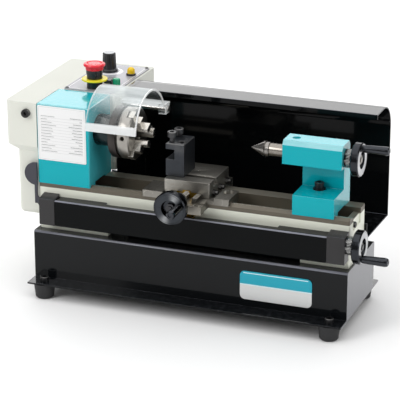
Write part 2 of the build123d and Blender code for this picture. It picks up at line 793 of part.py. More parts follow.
def pulley(base, radius, bore):
    # A flanged belt pulley, centred on the belt's plane.
    near = pulley_center_x - belt_width / 2 - 0.5
    far = pulley_center_x + belt_width / 2 + 0.5
    turn(base, [
        (bore, near - pulley_flange), (radius + 2.0, near - pulley_flange), (radius + 2.0, near),
        (radius, near), (radius, far), (radius + 2.0, far), (radius + 2.0, far + pulley_flange),
        (bore, far + pulley_flange),
    ])


with BuildPart() as spindle_pulley:
    pulley(spindle_line, spindle_pulley_radius, spindle_radius)
save(spindle_pulley, "spindle_pulley")

with BuildPart() as motor_pulley:
    pulley(motor_line, motor_pulley_radius, 0.0)
    rod(motor_line, 4.0, pulley_center_x, face_x + 24.0)
save(motor_pulley, "motor_pulley")

with BuildPart() as drive_belt:
    for extra, mode in ((running_fit + belt_thickness, Mode.ADD), (running_fit, Mode.SUBTRACT)):
        with BuildSketch(Plane.YZ.offset(pulley_center_x - belt_width / 2)) as loop:
            with Locations((axis_y, axis_z)):
                Circle(spindle_pulley_radius + extra)
            with Locations((motor_y, motor_z)):
                Circle(motor_pulley_radius + extra)
            make_hull()
        extrude(loop.sketch, amount=belt_width, mode=mode)
save(drive_belt, "drive_belt")

# ---- Spindle and chuck ----
with BuildPart() as spindle:
    collar_back = headstock_right + slide_gap
    turn(spindle_line, [
        (spindle_bore_radius, pulley_center_x - 8.0), (spindle_radius, pulley_center_x - 8.0),
        (spindle_radius, collar_back), (spindle_collar_radius, collar_back),
        (spindle_collar_radius, backplate_back), (spindle_bore_radius, backplate_back),
    ])
save(spindle, "spindle")

with BuildPart() as chuck_backplate:
    turn(spindle_line, [
        (spindle_bore_radius, backplate_back), (chuck_radius - 0.6, backplate_back),
        (chuck_radius, backplate_back + 0.6), (chuck_radius, backplate_front),
        (spindle_bore_radius, backplate_front),
    ])
save(chuck_backplate, "chuck_backplate")


def jaw_plane(angle):
    # The plane through the spindle line and one jaw: radius along x, machine X along y.
    along = math.radians(angle)
    radial = (0, math.cos(along), math.sin(along))
    return Plane(origin=(0, axis_y, axis_z), x_dir=radial, z_dir=(0, math.sin(along), -math.cos(along)))


with BuildPart() as chuck_body:
    groove_end = backplate_front + chuck_groove_width
    turn(spindle_line, [
        (chuck_bore_radius, backplate_front), (chuck_groove_radius, backplate_front),
        (chuck_groove_radius, groove_end), (chuck_radius, groove_end),
        (chuck_radius, chuck_front - 1.2), (chuck_radius - 1.2, chuck_front),
        (chuck_bore_radius, chuck_front),
    ])
    for turn_number in range(3):
        angle = jaw_angle + 120 * turn_number
        with BuildSketch(jaw_plane(angle)) as slot:
            with Locations((chuck_radius / 2 + 2.0, chuck_front - jaw_slot_depth / 2)):
                Rectangle(chuck_radius + 4.0, jaw_slot_depth)
        extrude(slot.sketch, amount=jaw_width / 2 + slide_gap, both=True, mode=Mode.SUBTRACT)
        between = math.radians(angle + 60)
        key_axis = Plane(
            origin=((groove_end + chuck_front) / 2 - 0.6, axis_y, axis_z), x_dir=(1, 0, 0),
            z_dir=(0, math.cos(between), math.sin(between)),
        )
        rod(key_axis, key_hole_radius, chuck_radius - 9.0, chuck_radius + 2.0, mode=Mode.SUBTRACT)
save(chuck_body, "chuck_body")


def chuck_jaw(angle):
    # One stepped jaw with scroll teeth on its back.
    root = chuck_front - jaw_slot_depth + slide_gap
    first, second, last = jaw_step_radii
    high, middle, low = [chuck_front + height for height in jaw_step_heights]
    outline = [
        (jaw_inner_radius, root + 1.4), (jaw_inner_radius, high), (first, high), (first, middle),
        (second, middle), (second, low), (last, low), (last, root + 1.4),
    ]
    tooth = last - 0.6
    while tooth - scroll_tooth_pitch > jaw_inner_radius:
        outline += [
            (tooth, root + 1.4), (tooth - 0.3, root), (tooth - 1.3, root), (tooth - 1.6, root + 1.4),
        ]
        tooth -= scroll_tooth_pitch
    with BuildSketch(jaw_plane(angle)) as side:
        with BuildLine():
            Polyline(*outline, close=True)
        make_face()
    extrude(side.sketch, amount=jaw_width / 2, both=True)
    tip_plane = Plane(origin=(chuck_front, axis_y, axis_z), x_dir=jaw_plane(angle).x_dir, z_dir=(1, 0, 0))
    half = jaw_width / 2
    for side_sign in (-1, 1):
        with BuildSketch(tip_plane) as bevel:
            with BuildLine():
                Polyline(
                    (jaw_inner_radius - 1.0, 1.2 * side_sign), (jaw_inner_radius, 1.2 * side_sign),
                    (jaw_inner_radius + (half - 1.2) * 0.577, half * side_sign),
                    (jaw_inner_radius + (half - 1.2) * 0.577, (half + 1.0) * side_sign),
                    (jaw_inner_radius - 1.0, (half + 1.0) * side_sign), close=True,
                )
            make_face()
        extrude(bevel.sketch, amount=20.0, both=True, mode=Mode.SUBTRACT)


for number in range(3):
    with BuildPart() as jaw:
        chuck_jaw(jaw_angle + 120 * number)
    save(jaw, f"chuck_jaw_{number + 1}")

# ---- Chuck guard ----
hinge_line = Plane(origin=(0, hinge_y, hinge_z), x_dir=(0, 1, 0), z_dir=(1, 0, 0))
with BuildPart() as chuck_guard:
    with BuildSketch(Plane.YZ.offset(guard_left)) as shell:
        with Locations((guard_center_y, guard_center_z)):
            Circle(guard_radius)
            Circle(guard_radius - guard_wall, mode=Mode.SUBTRACT)
        with Locations((guard_center_y - guard_radius, guard_front_edge)):
            Rectangle(2 * guard_radius, 3 * guard_radius, align=(Align.CENTER, Align.MAX), mode=Mode.SUBTRACT)
        with Locations((guard_center_y + guard_radius, guard_flange_z)):
            Rectangle(2 * guard_radius, 3 * guard_radius, align=(Align.CENTER, Align.MAX), mode=Mode.SUBTRACT)
        rise = guard_flange_z - guard_center_z
        flange_start = guard_center_y + math.sqrt((guard_radius - guard_wall) ** 2 - rise ** 2)
        with Locations((flange_start, guard_flange_z)):
            Rectangle(guard_rear - flange_start, guard_wall, align=(Align.MIN, Align.MIN))
    extrude(amount=guard_right - guard_left)
    notch_right = box_right + 0.8
    notch_y = (guard_notch_y, guard_rear + 1)
    block((guard_left - 1, notch_right), notch_y, (hinge_z - 10, guard_center_z + 60), Mode.SUBTRACT)
    for start in (notch_right, guard_right - guard_lug_width):
        lug_y = (hinge_y - 5.0, hinge_y + 5.0)
        block((start, start + guard_lug_width), lug_y, (hinge_z - 4.6, guard_flange_z))
        rod(hinge_line, hinge_rod_radius + running_fit, start, start + guard_lug_width, mode=Mode.SUBTRACT)
save(chuck_guard, "chuck_guard")

with BuildPart() as guard_hinge_rod:
    rod(hinge_line, hinge_rod_radius, box_right - 8.0, guard_right + 1.5)
save(guard_hinge_rod, "guard_hinge_rod")

# ---- Leadscrew, its cover, brackets and nut ----
with BuildPart() as leadscrew_cover:
    cover_y = (lead_cover_front, bed_front)
    lead_x = (lead_cover_left, lead_cover_right)
    block(lead_x, cover_y, (lead_cover_bottom, lead_cover_top))
    front_edges = leadscrew_cover.edges().filter_by(Axis.X).group_by(Axis.Y)[0]
    fillet(front_edges, radius=1.8)
    block(
        lead_x, (lead_cover_front + lead_cover_sheet, bed_front),
        (lead_cover_bottom + lead_cover_sheet, lead_cover_top - lead_cover_sheet), Mode.SUBTRACT,
    )
    nut_slot = (lead_cover_left + nut_slot_inset, lead_cover_right - nut_slot_inset)
    block(nut_slot, (lead_y + 1.2, bed_front), (lead_cover_top - 2.0, lead_cover_top), Mode.SUBTRACT)
save(leadscrew_cover, "leadscrew_cover")


def lead_bracket(start, bracket_length):
    # An end bracket with a sloping top, bored for the leadscrew.
    front = lead_cover_front - 0.4
    prism(Plane.YZ.offset(start), [
        (front, lead_cover_bottom + 0.6), (front, lead_cover_top + 0.5), (bed_front, bracket_top),
        (bed_front, lead_cover_bottom + 0.6),
    ], bracket_length)
    rod(lead_line, lead_radius + running_fit, start, start + bracket_length, mode=Mode.SUBTRACT)


bracket_right_x = lead_cover_right
bracket_left_x = lead_cover_left - bracket_left_length
with BuildPart() as leadscrew_brackets:
    lead_bracket(bracket_left_x, bracket_left_length)
    lead_bracket(bracket_right_x, bracket_right_length)
save(leadscrew_brackets, "leadscrew_brackets")

lead_dial_x = bracket_right_x + bracket_right_length + 2 * slide_gap
lead_wheel_x = lead_dial_x + dial_length
wheel_length = wheel_hub_length + wheel_rim

def dial(base, start):
    # A plain collar with a chamfered front edge, which carries the graduations.
    turn(base, [
        (cross_screw_radius, start), (dial_radius, start), (dial_radius, start + dial_length - 0.6),
        (dial_radius - 0.6, start + dial_length), (cross_screw_radius, start + dial_length),
    ])


def handwheel(base, start):
    # A handwheel with a flat ring for a face and a recess round its nut.
    rim_back = start + wheel_hub_length
    rim_front = rim_back + wheel_rim
    floor = rim_front - wheel_recess
    turn(base, [
        (cross_screw_radius, start), (wheel_hub_radius, start), (wheel_hub_radius, rim_back),
        (wheel_radius - 1.0, rim_back), (wheel_radius, rim_back + 1.0), (wheel_radius, rim_front - 1.0),
        (wheel_radius - 1.0, rim_front), (wheel_face_radius, rim_front),
        (wheel_face_radius - 1.0, floor), (cross_screw_radius, floor),
    ])


def wheel_nut(base, start):
    # The screw's end and the hexagonal nut in the wheel's recess.
    floor = start + wheel_length - wheel_recess
    rod(base, cross_screw_radius, start, floor)
    with BuildSketch(base.offset(floor)) as outline:
        RegularPolygon(wheel_nut_radius, 6)
    extrude(outline.sketch, amount=wheel_nut_height)
    rod(base, cross_screw_radius - 0.6, floor + wheel_nut_height, floor + wheel_recess - 0.4)


def handle_plane(base, angle, start):
    # The crank handle's own axis, offset from the wheel's.
    along = math.radians(angle)
    shift = base.x_dir * (crank_radius * math.cos(along)) + base.y_dir * (crank_radius * math.sin(along))
    return Plane(origin=base.origin + shift, x_dir=base.x_dir, z_dir=base.z_dir)


def handle(base, start):
    # A turned grip that widens to its free end, on a pin let into the wheel's face.
    end = start + handle_length
    turn(base, [
        (0, start - 3.2), (handle_pin_radius, start - 3.2), (handle_pin_radius, start + slide_gap),
        (handle_neck_radius, start + slide_gap), (handle_neck_radius + 0.5, start + 2.0),
        (handle_radius, end - 3.0), (handle_radius - 0.5, end - 0.9), (handle_radius - 1.4, end),
        (handle_pin_radius, end), (handle_pin_radius - 0.4, end - 0.8), (0, end - 0.8),
    ])


with BuildPart() as leadscrew:
    rod(lead_line, lead_radius, bracket_left_x + 1.0, lead_dial_x)
    rod(lead_line, cross_screw_radius, lead_dial_x, lead_wheel_x)
    wheel_nut(lead_line, lead_wheel_x)
save(leadscrew, "leadscrew")

tail_wheel_x = barrel_right + slide_gap + dial_length
cross_dial_y = -saddle_front + cross_bearing_depth + slide_gap
cross_wheel_y = cross_dial_y + dial_length + cross_wheel_spacing
wheels = {
    "leadscrew": (lead_line, lead_dial_x, lead_wheel_x, 238.0),
    "tailstock": (spindle_line, barrel_right + slide_gap, tail_wheel_x, 88.0),
    "cross_slide": (cross_line, cross_dial_y, cross_wheel_y, 20.0),
}
for name, (base, dial_start, wheel_start, angle) in wheels.items():
    grip_line = handle_plane(base, angle, wheel_start)
    grip_start = wheel_start + wheel_length
    with BuildPart() as graduated_dial:
        dial(base, dial_start)
        if wheel_start - dial_start > dial_length + 0.1:
            rod(base, wheel_hub_radius, dial_start + dial_length, wheel_start, inner=cross_screw_radius)
    save(graduated_dial, f"{name}_dial")
    with BuildPart() as wheel:
        handwheel(base, wheel_start)
        pin_hole = handle_pin_radius + running_fit
        rod(grip_line, pin_hole, grip_start - 4.0, grip_start + 1.0, mode=Mode.SUBTRACT)
    save(wheel, f"{name}_handwheel")
    with BuildPart() as grip:
        handle(grip_line, grip_start)
    save(grip, f"{name}_handle")

with BuildPart() as leadscrew_nut:
    nut_x = (carriage_x - 9.0, carriage_x + 9.0)
    block(nut_x, (lead_cover_front + lead_cover_sheet + 0.4, bed_front - 0.4), (lead_z - 5.6, lead_z + 5.6))
    block(nut_x, (lead_y + 1.6, bed_front - 0.4), (lead_z + 5.6, saddle_bottom))
    rod(lead_line, lead_radius + running_fit, nut_x[0], nut_x[1], mode=Mode.SUBTRACT)
save(leadscrew_nut, "leadscrew_nut")

# ---- Saddle ----
with BuildPart() as saddle:
    side_x = (carriage_x - saddle_width / 2, carriage_x + saddle_width / 2)
    wing_x = (carriage_x - wing_half_length, carriage_x + wing_half_length)
    block(side_x, (saddle_front, saddle_rear), (saddle_bottom, saddle_top))
    block(wing_x, (wing_front, wing_rear), (vee_base + slide_gap, wing_top))
    block(wing_x, (front_rail_rear + slide_gap, wing_rear), (end_web_top + 0.6, wing_top))
    wing_edges = saddle.edges().filter_by(Axis.Z).group_by(Axis.X)
    fillet([edge for edge in wing_edges[0] + wing_edges[-1]], radius=0.8)
    under_slide = (side_x[0] - slide_gap - 0.4, side_x[1] + gib_reach + 1.2)
    block(under_slide, (saddle_front, saddle_rear), (saddle_top, wing_top + 1.0), Mode.SUBTRACT)
    half = dovetail_width / 2
    foot_half = half - dovetail_slope
    prism(Plane.XZ.offset(-saddle_rear), [
        (carriage_x - foot_half, saddle_top - 0.5), (carriage_x - foot_half, saddle_top),
        (carriage_x - half, dovetail_top), (carriage_x + half, dovetail_top),
        (carriage_x + foot_half, saddle_top), (carriage_x + foot_half, saddle_top - 0.5),
    ], saddle_rear - saddle_front)
    channel_x = (carriage_x - nut_channel_width / 2, carriage_x + nut_channel_width / 2)
    block(channel_x, (saddle_front, saddle_rear), (nut_channel_floor, dovetail_top + 1.0), Mode.SUBTRACT)
    ways_cut((wing_x[0] - 1, wing_x[1] + 1), slide_gap, saddle_bottom - 2.0)
    between_rails = (front_rail_rear, rear_rail_front)
    relief_x = (wing_x[0] - 1, wing_x[1] + 1)
    block(relief_x, between_rails, (saddle_bottom - 2.0, end_web_top + 0.6), Mode.SUBTRACT)
    wing_hole = upright(carriage_x + 35.9, -15.4, wing_top)
    rod(wing_hole, 5.3, -6.0, 1.0, mode=Mode.SUBTRACT)
save(saddle, "saddle")

with BuildPart() as cross_screw_bearing:
    bearing_y = (saddle_front - cross_bearing_depth, saddle_front)
    block(side_x, bearing_y, (cross_bearing_bottom, cross_bearing_top))
    boss_end = -saddle_front + cross_bearing_depth
    rod(cross_line, cross_boss_radius, boss_end - cross_boss_depth, boss_end)
    rod(cross_line, cross_screw_radius + running_fit, -saddle_front, boss_end, mode=Mode.SUBTRACT)
    for offset_x in (14.5, 19.6, -14.5, -19.6):
        hole = upright(carriage_x + offset_x, saddle_front - cross_bearing_depth / 2, cross_bearing_top)
        rod(hole, 1.7, -3.0, 0.5, mode=Mode.SUBTRACT)
save(cross_screw_bearing, "cross_screw_bearing")

# ---- Cross slide, nut, gib screws ----
slide_bottom = saddle_top + slide_gap
slide_right = carriage_x + slide_width / 2
slide_left = carriage_x - slide_width / 2
with BuildPart() as cross_slide:
    block((slide_left, slide_right), (slide_front, slide_rear), (slide_bottom, slide_top))
    fillet(cross_slide.edges().filter_by(Axis.Z), radius=0.8)
    half = dovetail_width / 2 + slide_gap * 1.2
    foot_half = half - dovetail_slope
    prism(Plane.XZ.offset(-slide_rear - 1.0), [
        (carriage_x - foot_half, slide_bottom - 1.0), (carriage_x - foot_half, slide_bottom - 0.1),
        (carriage_x - half, dovetail_top + slide_gap), (carriage_x + half, dovetail_top + slide_gap),
        (carriage_x + foot_half, slide_bottom - 0.1), (carriage_x + foot_half, slide_bottom - 1.0),
    ], slide_rear - slide_front + 2.0, Mode.SUBTRACT)
    groove_x = (carriage_x - 4.0, carriage_x + 4.0)
    groove_top = cross_screw_z + cross_screw_radius + 0.6
    block(groove_x, (slide_front - 1.0, slide_rear + 1.0), (slide_bottom, groove_top), Mode.SUBTRACT)
    tee_x = (slide_left - 1.0, slide_right + 1.0)
    tee_mid = (tee_slot_y - tee_slot_width / 2, tee_slot_y + tee_slot_width / 2)
    tee_low = (tee_slot_y - tee_slot_wide / 2, tee_slot_y + tee_slot_wide / 2)
    block(tee_x, tee_mid, (slide_top - tee_slot_depth, slide_top + 1.0), Mode.SUBTRACT)
    block(tee_x, tee_low, (slide_top - tee_slot_depth, slide_top - tee_slot_neck), Mode.SUBTRACT)
    for screw_y in (-22.5, -5.0, 12.9):
        gib_line = Plane(origin=(0, screw_y, dovetail_top - 0.6), x_dir=(0, 1, 0), z_dir=(1, 0, 0))
        hole_start = carriage_x + dovetail_width / 2 - 4.0
        rod(gib_line, gib_screw_radius, hole_start, slide_right + 1.0, mode=Mode.SUBTRACT)
    oil_hole = upright(-3.8, -0.4, slide_top)
    rod(oil_hole, 1.6, -3.0, 0.5, mode=Mode.SUBTRACT)
save(cross_slide, "cross_slide")

with BuildPart() as gib_screws:
    for screw_y in (-22.5, -5.0, 12.9):
        gib_line = Plane(origin=(0, screw_y, dovetail_top - 0.6), x_dir=(0, 1, 0), z_dir=(1, 0, 0))
        rod(gib_line, gib_screw_radius, carriage_x + dovetail_width / 2 + slide_gap, slide_right + gib_reach)
        with BuildSketch(gib_line.offset(slide_right)) as nut:
            RegularPolygon(3.0, 6)
        extrude(nut.sketch, amount=2.6)
        socket(gib_line, 1.1, slide_right + gib_reach, 1.8)
save(gib_screws, "gib_screws")

with BuildPart() as cross_slide_nut:
    nut_half = nut_channel_width / 2 - slide_gap
    block(
        (carriage_x - nut_half, carriage_x + nut_half), (slide_front, slide_front + 12.0),
        (nut_channel_floor + slide_gap, dovetail_top + slide_gap),
    )
    block(groove_x, (slide_front, slide_front + 12.0), (dovetail_top + slide_gap, groove_top))
    nut_hole = cross_screw_radius + running_fit
    rod(cross_line, nut_hole, -slide_front - 13.0, -slide_front + 1.0, mode=Mode.SUBTRACT)
save(cross_slide_nut, "cross_slide_nut")

with BuildPart() as cross_slide_screw:
    rod(cross_line, cross_screw_radius, -saddle_rear + 6.0, cross_wheel_y)
    wheel_nut(cross_line, cross_wheel_y)
save(cross_slide_screw, "cross_slide_screw")

# ---- Tool post ----
post_right = post_left + post_width
post_base = slide_top + slide_gap
post_rear = post_front + post_depth
post_top = slide_top + post_height
clamp_spots = [(post_left + 4.4, post_front + post_depth / 2 + shift) for shift in (-8.6, 9.4)]
bolt_spot = (post_right - 4.6, tee_slot_y)
with BuildPart() as tool_post:
    slot_low = slide_top + post_slot_bottom
    slot_high = slot_low + post_slot_height
    prism(Plane.XZ.offset(-post_rear), [
        (post_left, post_base), (post_right, post_base), (post_right, post_top), (post_left, post_top),
        (post_left, slot_high), (post_left + post_slot_depth, slot_high),
        (post_left + post_slot_depth, slot_low), (post_left, slot_low),
    ], post_depth)
    chamfer(tool_post.faces().sort_by(Axis.Z)[-1].edges(), length=0.8)
    for spot_x, spot_y in clamp_spots:
        rod(upright(spot_x, spot_y), clamp_screw_radius, slot_high, post_top, mode=Mode.SUBTRACT)
    rod(upright(*bolt_spot), tee_bolt_radius + running_fit, post_base, post_top, mode=Mode.SUBTRACT)
    rod(upright(*bolt_spot), tee_head_radius + slide_gap, post_top - 5.0, post_top, mode=Mode.SUBTRACT)
    rod(upright(post_right - 4.0, post_rear - 10.4), 1.6, post_top - 6.0, post_top, mode=Mode.SUBTRACT)
save(tool_post, "tool_post")

with BuildPart() as tool_post_screws:
    tip = slot_high - post_top - 4.0
    for (spot_x, spot_y), lift in zip(clamp_spots, (5.2, 3.0)):
        base = upright(spot_x, spot_y, post_top + lift)
        turn(base, [
            (0, tip), (clamp_screw_radius, tip), (clamp_screw_radius, 0), (clamp_head_radius, 0),
            (clamp_head_radius, 4.4), (clamp_head_radius - 0.5, 4.9), (0, 4.9),
        ])
        socket(base, 2.4, 4.9, 3.0)
save(tool_post_screws, "tool_post_screws")

with BuildPart() as tool_post_bolt:
    foot_z = slide_top - tee_slot_depth + slide_gap
    seat_z = post_top - 5.0 + slide_gap
    turn(upright(*bolt_spot), [
        (0, foot_z), (tee_foot_radius, foot_z), (tee_foot_radius, foot_z + 3.0),
        (tee_bolt_radius, foot_z + 3.0), (tee_bolt_radius, seat_z), (tee_head_radius, seat_z),
        (tee_head_radius, post_top - 0.5), (0, post_top - 0.5),
    ])
    socket(upright(*bolt_spot), 2.3, post_top - 0.5, 3.0)
save(tool_post_bolt, "tool_post_bolt")

# ---- Tailstock ----
with BuildPart() as tailstock_body:
    foot_length = tail_foot_right - tail_foot_left
    foot_outline = [(headstock_front, tail_foot_top), (headstock_front, vee_base + slide_gap)] + [
        (bed_front - slide_gap, vee_base + slide_gap)
    ] + ways_outline(slide_gap)[1:] + [
        (front_rail_rear + slide_gap, rail_top + 1.8), (rear_rail_front, rail_top + 1.8),
        (rear_rail_front, rail_top + slide_gap), (bed_rear, rail_top + slide_gap),
        (bed_rear, barrel_bottom + 6.0), (tail_neck_front, barrel_bottom + 6.0),
        (tail_neck_front, tail_foot_top),
    ]
    prism(Plane.YZ.offset(tail_foot_left), foot_outline, foot_length)
    barrel_front = axis_y - barrel_width / 2
    barrel_back = axis_y + barrel_width / 2
    prism(Plane.YZ.offset(barrel_left), [
        (barrel_front, barrel_bottom), (barrel_front, barrel_top - barrel_chamfer),
        (barrel_front + barrel_chamfer * 0.8, barrel_top), (barrel_back - barrel_chamfer * 0.8, barrel_top),
        (barrel_back, barrel_top - barrel_chamfer), (barrel_back, barrel_bottom),
    ], barrel_right - barrel_left)
    prism(Plane.YZ.offset(tail_foot_left), [
        (barrel_back, barrel_bottom + 6.0), (bed_rear, barrel_bottom + 6.0), (barrel_back, barrel_top - 6.0),
    ], foot_length)
    cap_start = barrel_right - tail_cap_thickness
    rod(spindle_line, quill_radius + running_fit, barrel_left, cap_start, mode=Mode.SUBTRACT)
    rod(spindle_line, tail_screw_radius + running_fit, cap_start, barrel_right, mode=Mode.SUBTRACT)
    lock_hole = upright(lock_x, lock_y)
    rod(lock_hole, lock_radius + 0.2, rail_top, tail_foot_top, mode=Mode.SUBTRACT)
    rod(upright(barrel_left + oil_hole_inset, axis_y), 4.0, barrel_top - 2.0, barrel_top, mode=Mode.SUBTRACT)
save(tailstock_body, "tailstock_body")

with BuildPart() as tailstock_lock_screw:
    plate_z = bed_floor - slide_gap
    head_top = tail_foot_top + lock_screw_rise
    turn(upright(lock_x, lock_y), [
        (0, plate_z - 4.0), (7.0, plate_z - 4.0), (7.0, plate_z), (lock_radius, plate_z),
        (lock_radius, tail_foot_top), (6.0, tail_foot_top), (6.0, tail_foot_top + 1.2),
        (4.5, tail_foot_top + 1.2), (4.5, head_top - 0.5), (4.0, head_top), (0, head_top),
    ])
    socket(upright(lock_x, lock_y), 2.4, head_top, 3.2)
save(tailstock_lock_screw, "tailstock_lock_screw")

quill_end = quill_nose + quill_length
with BuildPart() as quill:
    turn(spindle_line, [
        (4.0, quill_nose), (quill_radius - 0.5, quill_nose), (quill_radius, quill_nose + 0.5),
        (quill_radius, quill_end), (tail_screw_radius + running_fit, quill_end),
        (tail_screw_radius + running_fit, quill_nose + 13.0), (4.0, quill_nose + 13.0),
    ])
save(quill, "quill")

with BuildPart() as dead_centre:
    turn(spindle_line, [
        (0, center_point), (center_radius, quill_nose - center_collar),
        (center_radius - 1.6, quill_nose - center_collar), (center_radius - 1.6, quill_nose),
        (4.0, quill_nose), (4.0, quill_nose + 12.0), (0, quill_nose + 12.0),
    ])
save(dead_centre, "dead_centre")

with BuildPart() as tailstock_screw:
    collar_start = barrel_right - tail_collar_inset
    thread_start = quill_end - tail_thread_length
    collar_end = cap_start - slide_gap
    turn(spindle_line, [
        (0, thread_start), (tail_screw_radius, thread_start), (tail_screw_radius, collar_start),
        (5.0, collar_start), (5.0, collar_end), (tail_screw_radius, collar_end),
        (tail_screw_radius, tail_wheel_x), (0, tail_wheel_x),
    ])
    wheel_nut(spindle_line, tail_wheel_x)
save(tailstock_screw, "tailstock_screw")

# ---- Feed lever ----
with BuildPart() as feed_lever:
    lever_plane = Plane.XZ.offset(-lever_front - lever_thickness)
    with BuildSketch(lever_plane) as lever_outline:
        with Locations((paddle_left + paddle_radius, paddle_z)):
            Circle(paddle_radius)
        flat_x = headstock_left - 0.8
        with Locations((flat_x, paddle_z)):
            Rectangle(20.0, 30.0, align=(Align.MIN, Align.CENTER), mode=Mode.SUBTRACT)
        with Locations((flat_x, lever_z)):
            Rectangle(2.6, paddle_z - lever_z, align=(Align.MAX, Align.MIN))
        with Locations((lever_x, lever_z)):
            Circle(lever_hub)
        with BuildLine():
            Polyline((flat_x - 2.6, lever_z + 8.0), (flat_x, lever_z + 8.0), (lever_x + 1.5, lever_z),
                     (lever_x - 2.0, lever_z - 2.0), (flat_x - 2.6, lever_z + 4.0), close=True)
        make_face()
    extrude(amount=lever_thickness)
    pin = Plane(origin=(lever_x, lever_front + lever_thickness, lever_z), x_dir=(1, 0, 0), z_dir=(0, 1, 0))
    rod(pin, 1.5, 0, bed_front - lever_front - lever_thickness + 7.0)
save(feed_lever, "feed_lever")
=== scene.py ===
import math

import bmesh
import bpy
import numpy as np
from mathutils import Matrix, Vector


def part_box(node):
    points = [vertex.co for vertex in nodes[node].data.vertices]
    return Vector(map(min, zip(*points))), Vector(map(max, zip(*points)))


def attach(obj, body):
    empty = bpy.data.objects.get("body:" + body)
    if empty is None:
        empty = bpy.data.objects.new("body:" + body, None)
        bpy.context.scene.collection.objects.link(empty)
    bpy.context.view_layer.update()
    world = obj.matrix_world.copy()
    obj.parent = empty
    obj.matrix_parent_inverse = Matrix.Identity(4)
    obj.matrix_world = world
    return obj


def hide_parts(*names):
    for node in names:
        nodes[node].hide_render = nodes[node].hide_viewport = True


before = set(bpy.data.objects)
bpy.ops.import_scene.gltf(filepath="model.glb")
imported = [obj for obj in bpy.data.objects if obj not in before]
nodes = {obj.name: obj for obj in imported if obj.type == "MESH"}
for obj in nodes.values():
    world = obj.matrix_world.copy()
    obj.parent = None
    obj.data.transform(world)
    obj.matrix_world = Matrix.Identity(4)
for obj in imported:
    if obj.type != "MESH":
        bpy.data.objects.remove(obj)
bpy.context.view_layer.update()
mm = 0.001
print("stage: frame loaded,", len(nodes), "nodes")


class Wire:
    # One output socket of a finish; arithmetic on it adds Math nodes to the same tree.
    def __init__(self, finish, socket):
        self.finish = finish
        self.socket = socket

    def calc(self, operation, *values):
        return self.finish.node("ShaderNodeMath", {"operation": operation}, *values)

    def __add__(self, other):
        return self.calc("ADD", self, other)

    def __radd__(self, other):
        return self.calc("ADD", other, self)

    def __sub__(self, other):
        return self.calc("SUBTRACT", self, other)

    def __rsub__(self, other):
        return self.calc("SUBTRACT", other, self)

    def __mul__(self, other):
        return self.calc("MULTIPLY", self, other)

    def __rmul__(self, other):
        return self.calc("MULTIPLY", other, self)

    def __truediv__(self, other):
        return self.calc("DIVIDE", self, other)

    def __rtruediv__(self, other):
        return self.calc("DIVIDE", other, self)

    def __pow__(self, other):
        return self.calc("POWER", self, other)

    def __gt__(self, other):
        return self.calc("GREATER_THAN", self, other)

    def __lt__(self, other):
        return self.calc("LESS_THAN", self, other)

    def __abs__(self):
        return self.calc("ABSOLUTE", self)

    def wave(self):
        return self.calc("SINE", self)

    def fraction(self):
        return self.calc("FRACT", self)

    def whole(self):
        return self.calc("FLOOR", self)

    def least(self, other):
        return self.calc("MINIMUM", self, other)

    def most(self, other):
        return self.calc("MAXIMUM", self, other)

    def clipped(self):
        return self.least(1.0).most(0.0)

    def between(self, low, high):
        return (self > low) * (self < high)  # 1 inside the band, 0 outside

    def eased(self, low, high):
        # 0 below low, 1 above high, smooth in between.
        settings = {"interpolation_type": "SMOOTHSTEP"}
        return self.finish.node("ShaderNodeMapRange", settings, self, low, high)


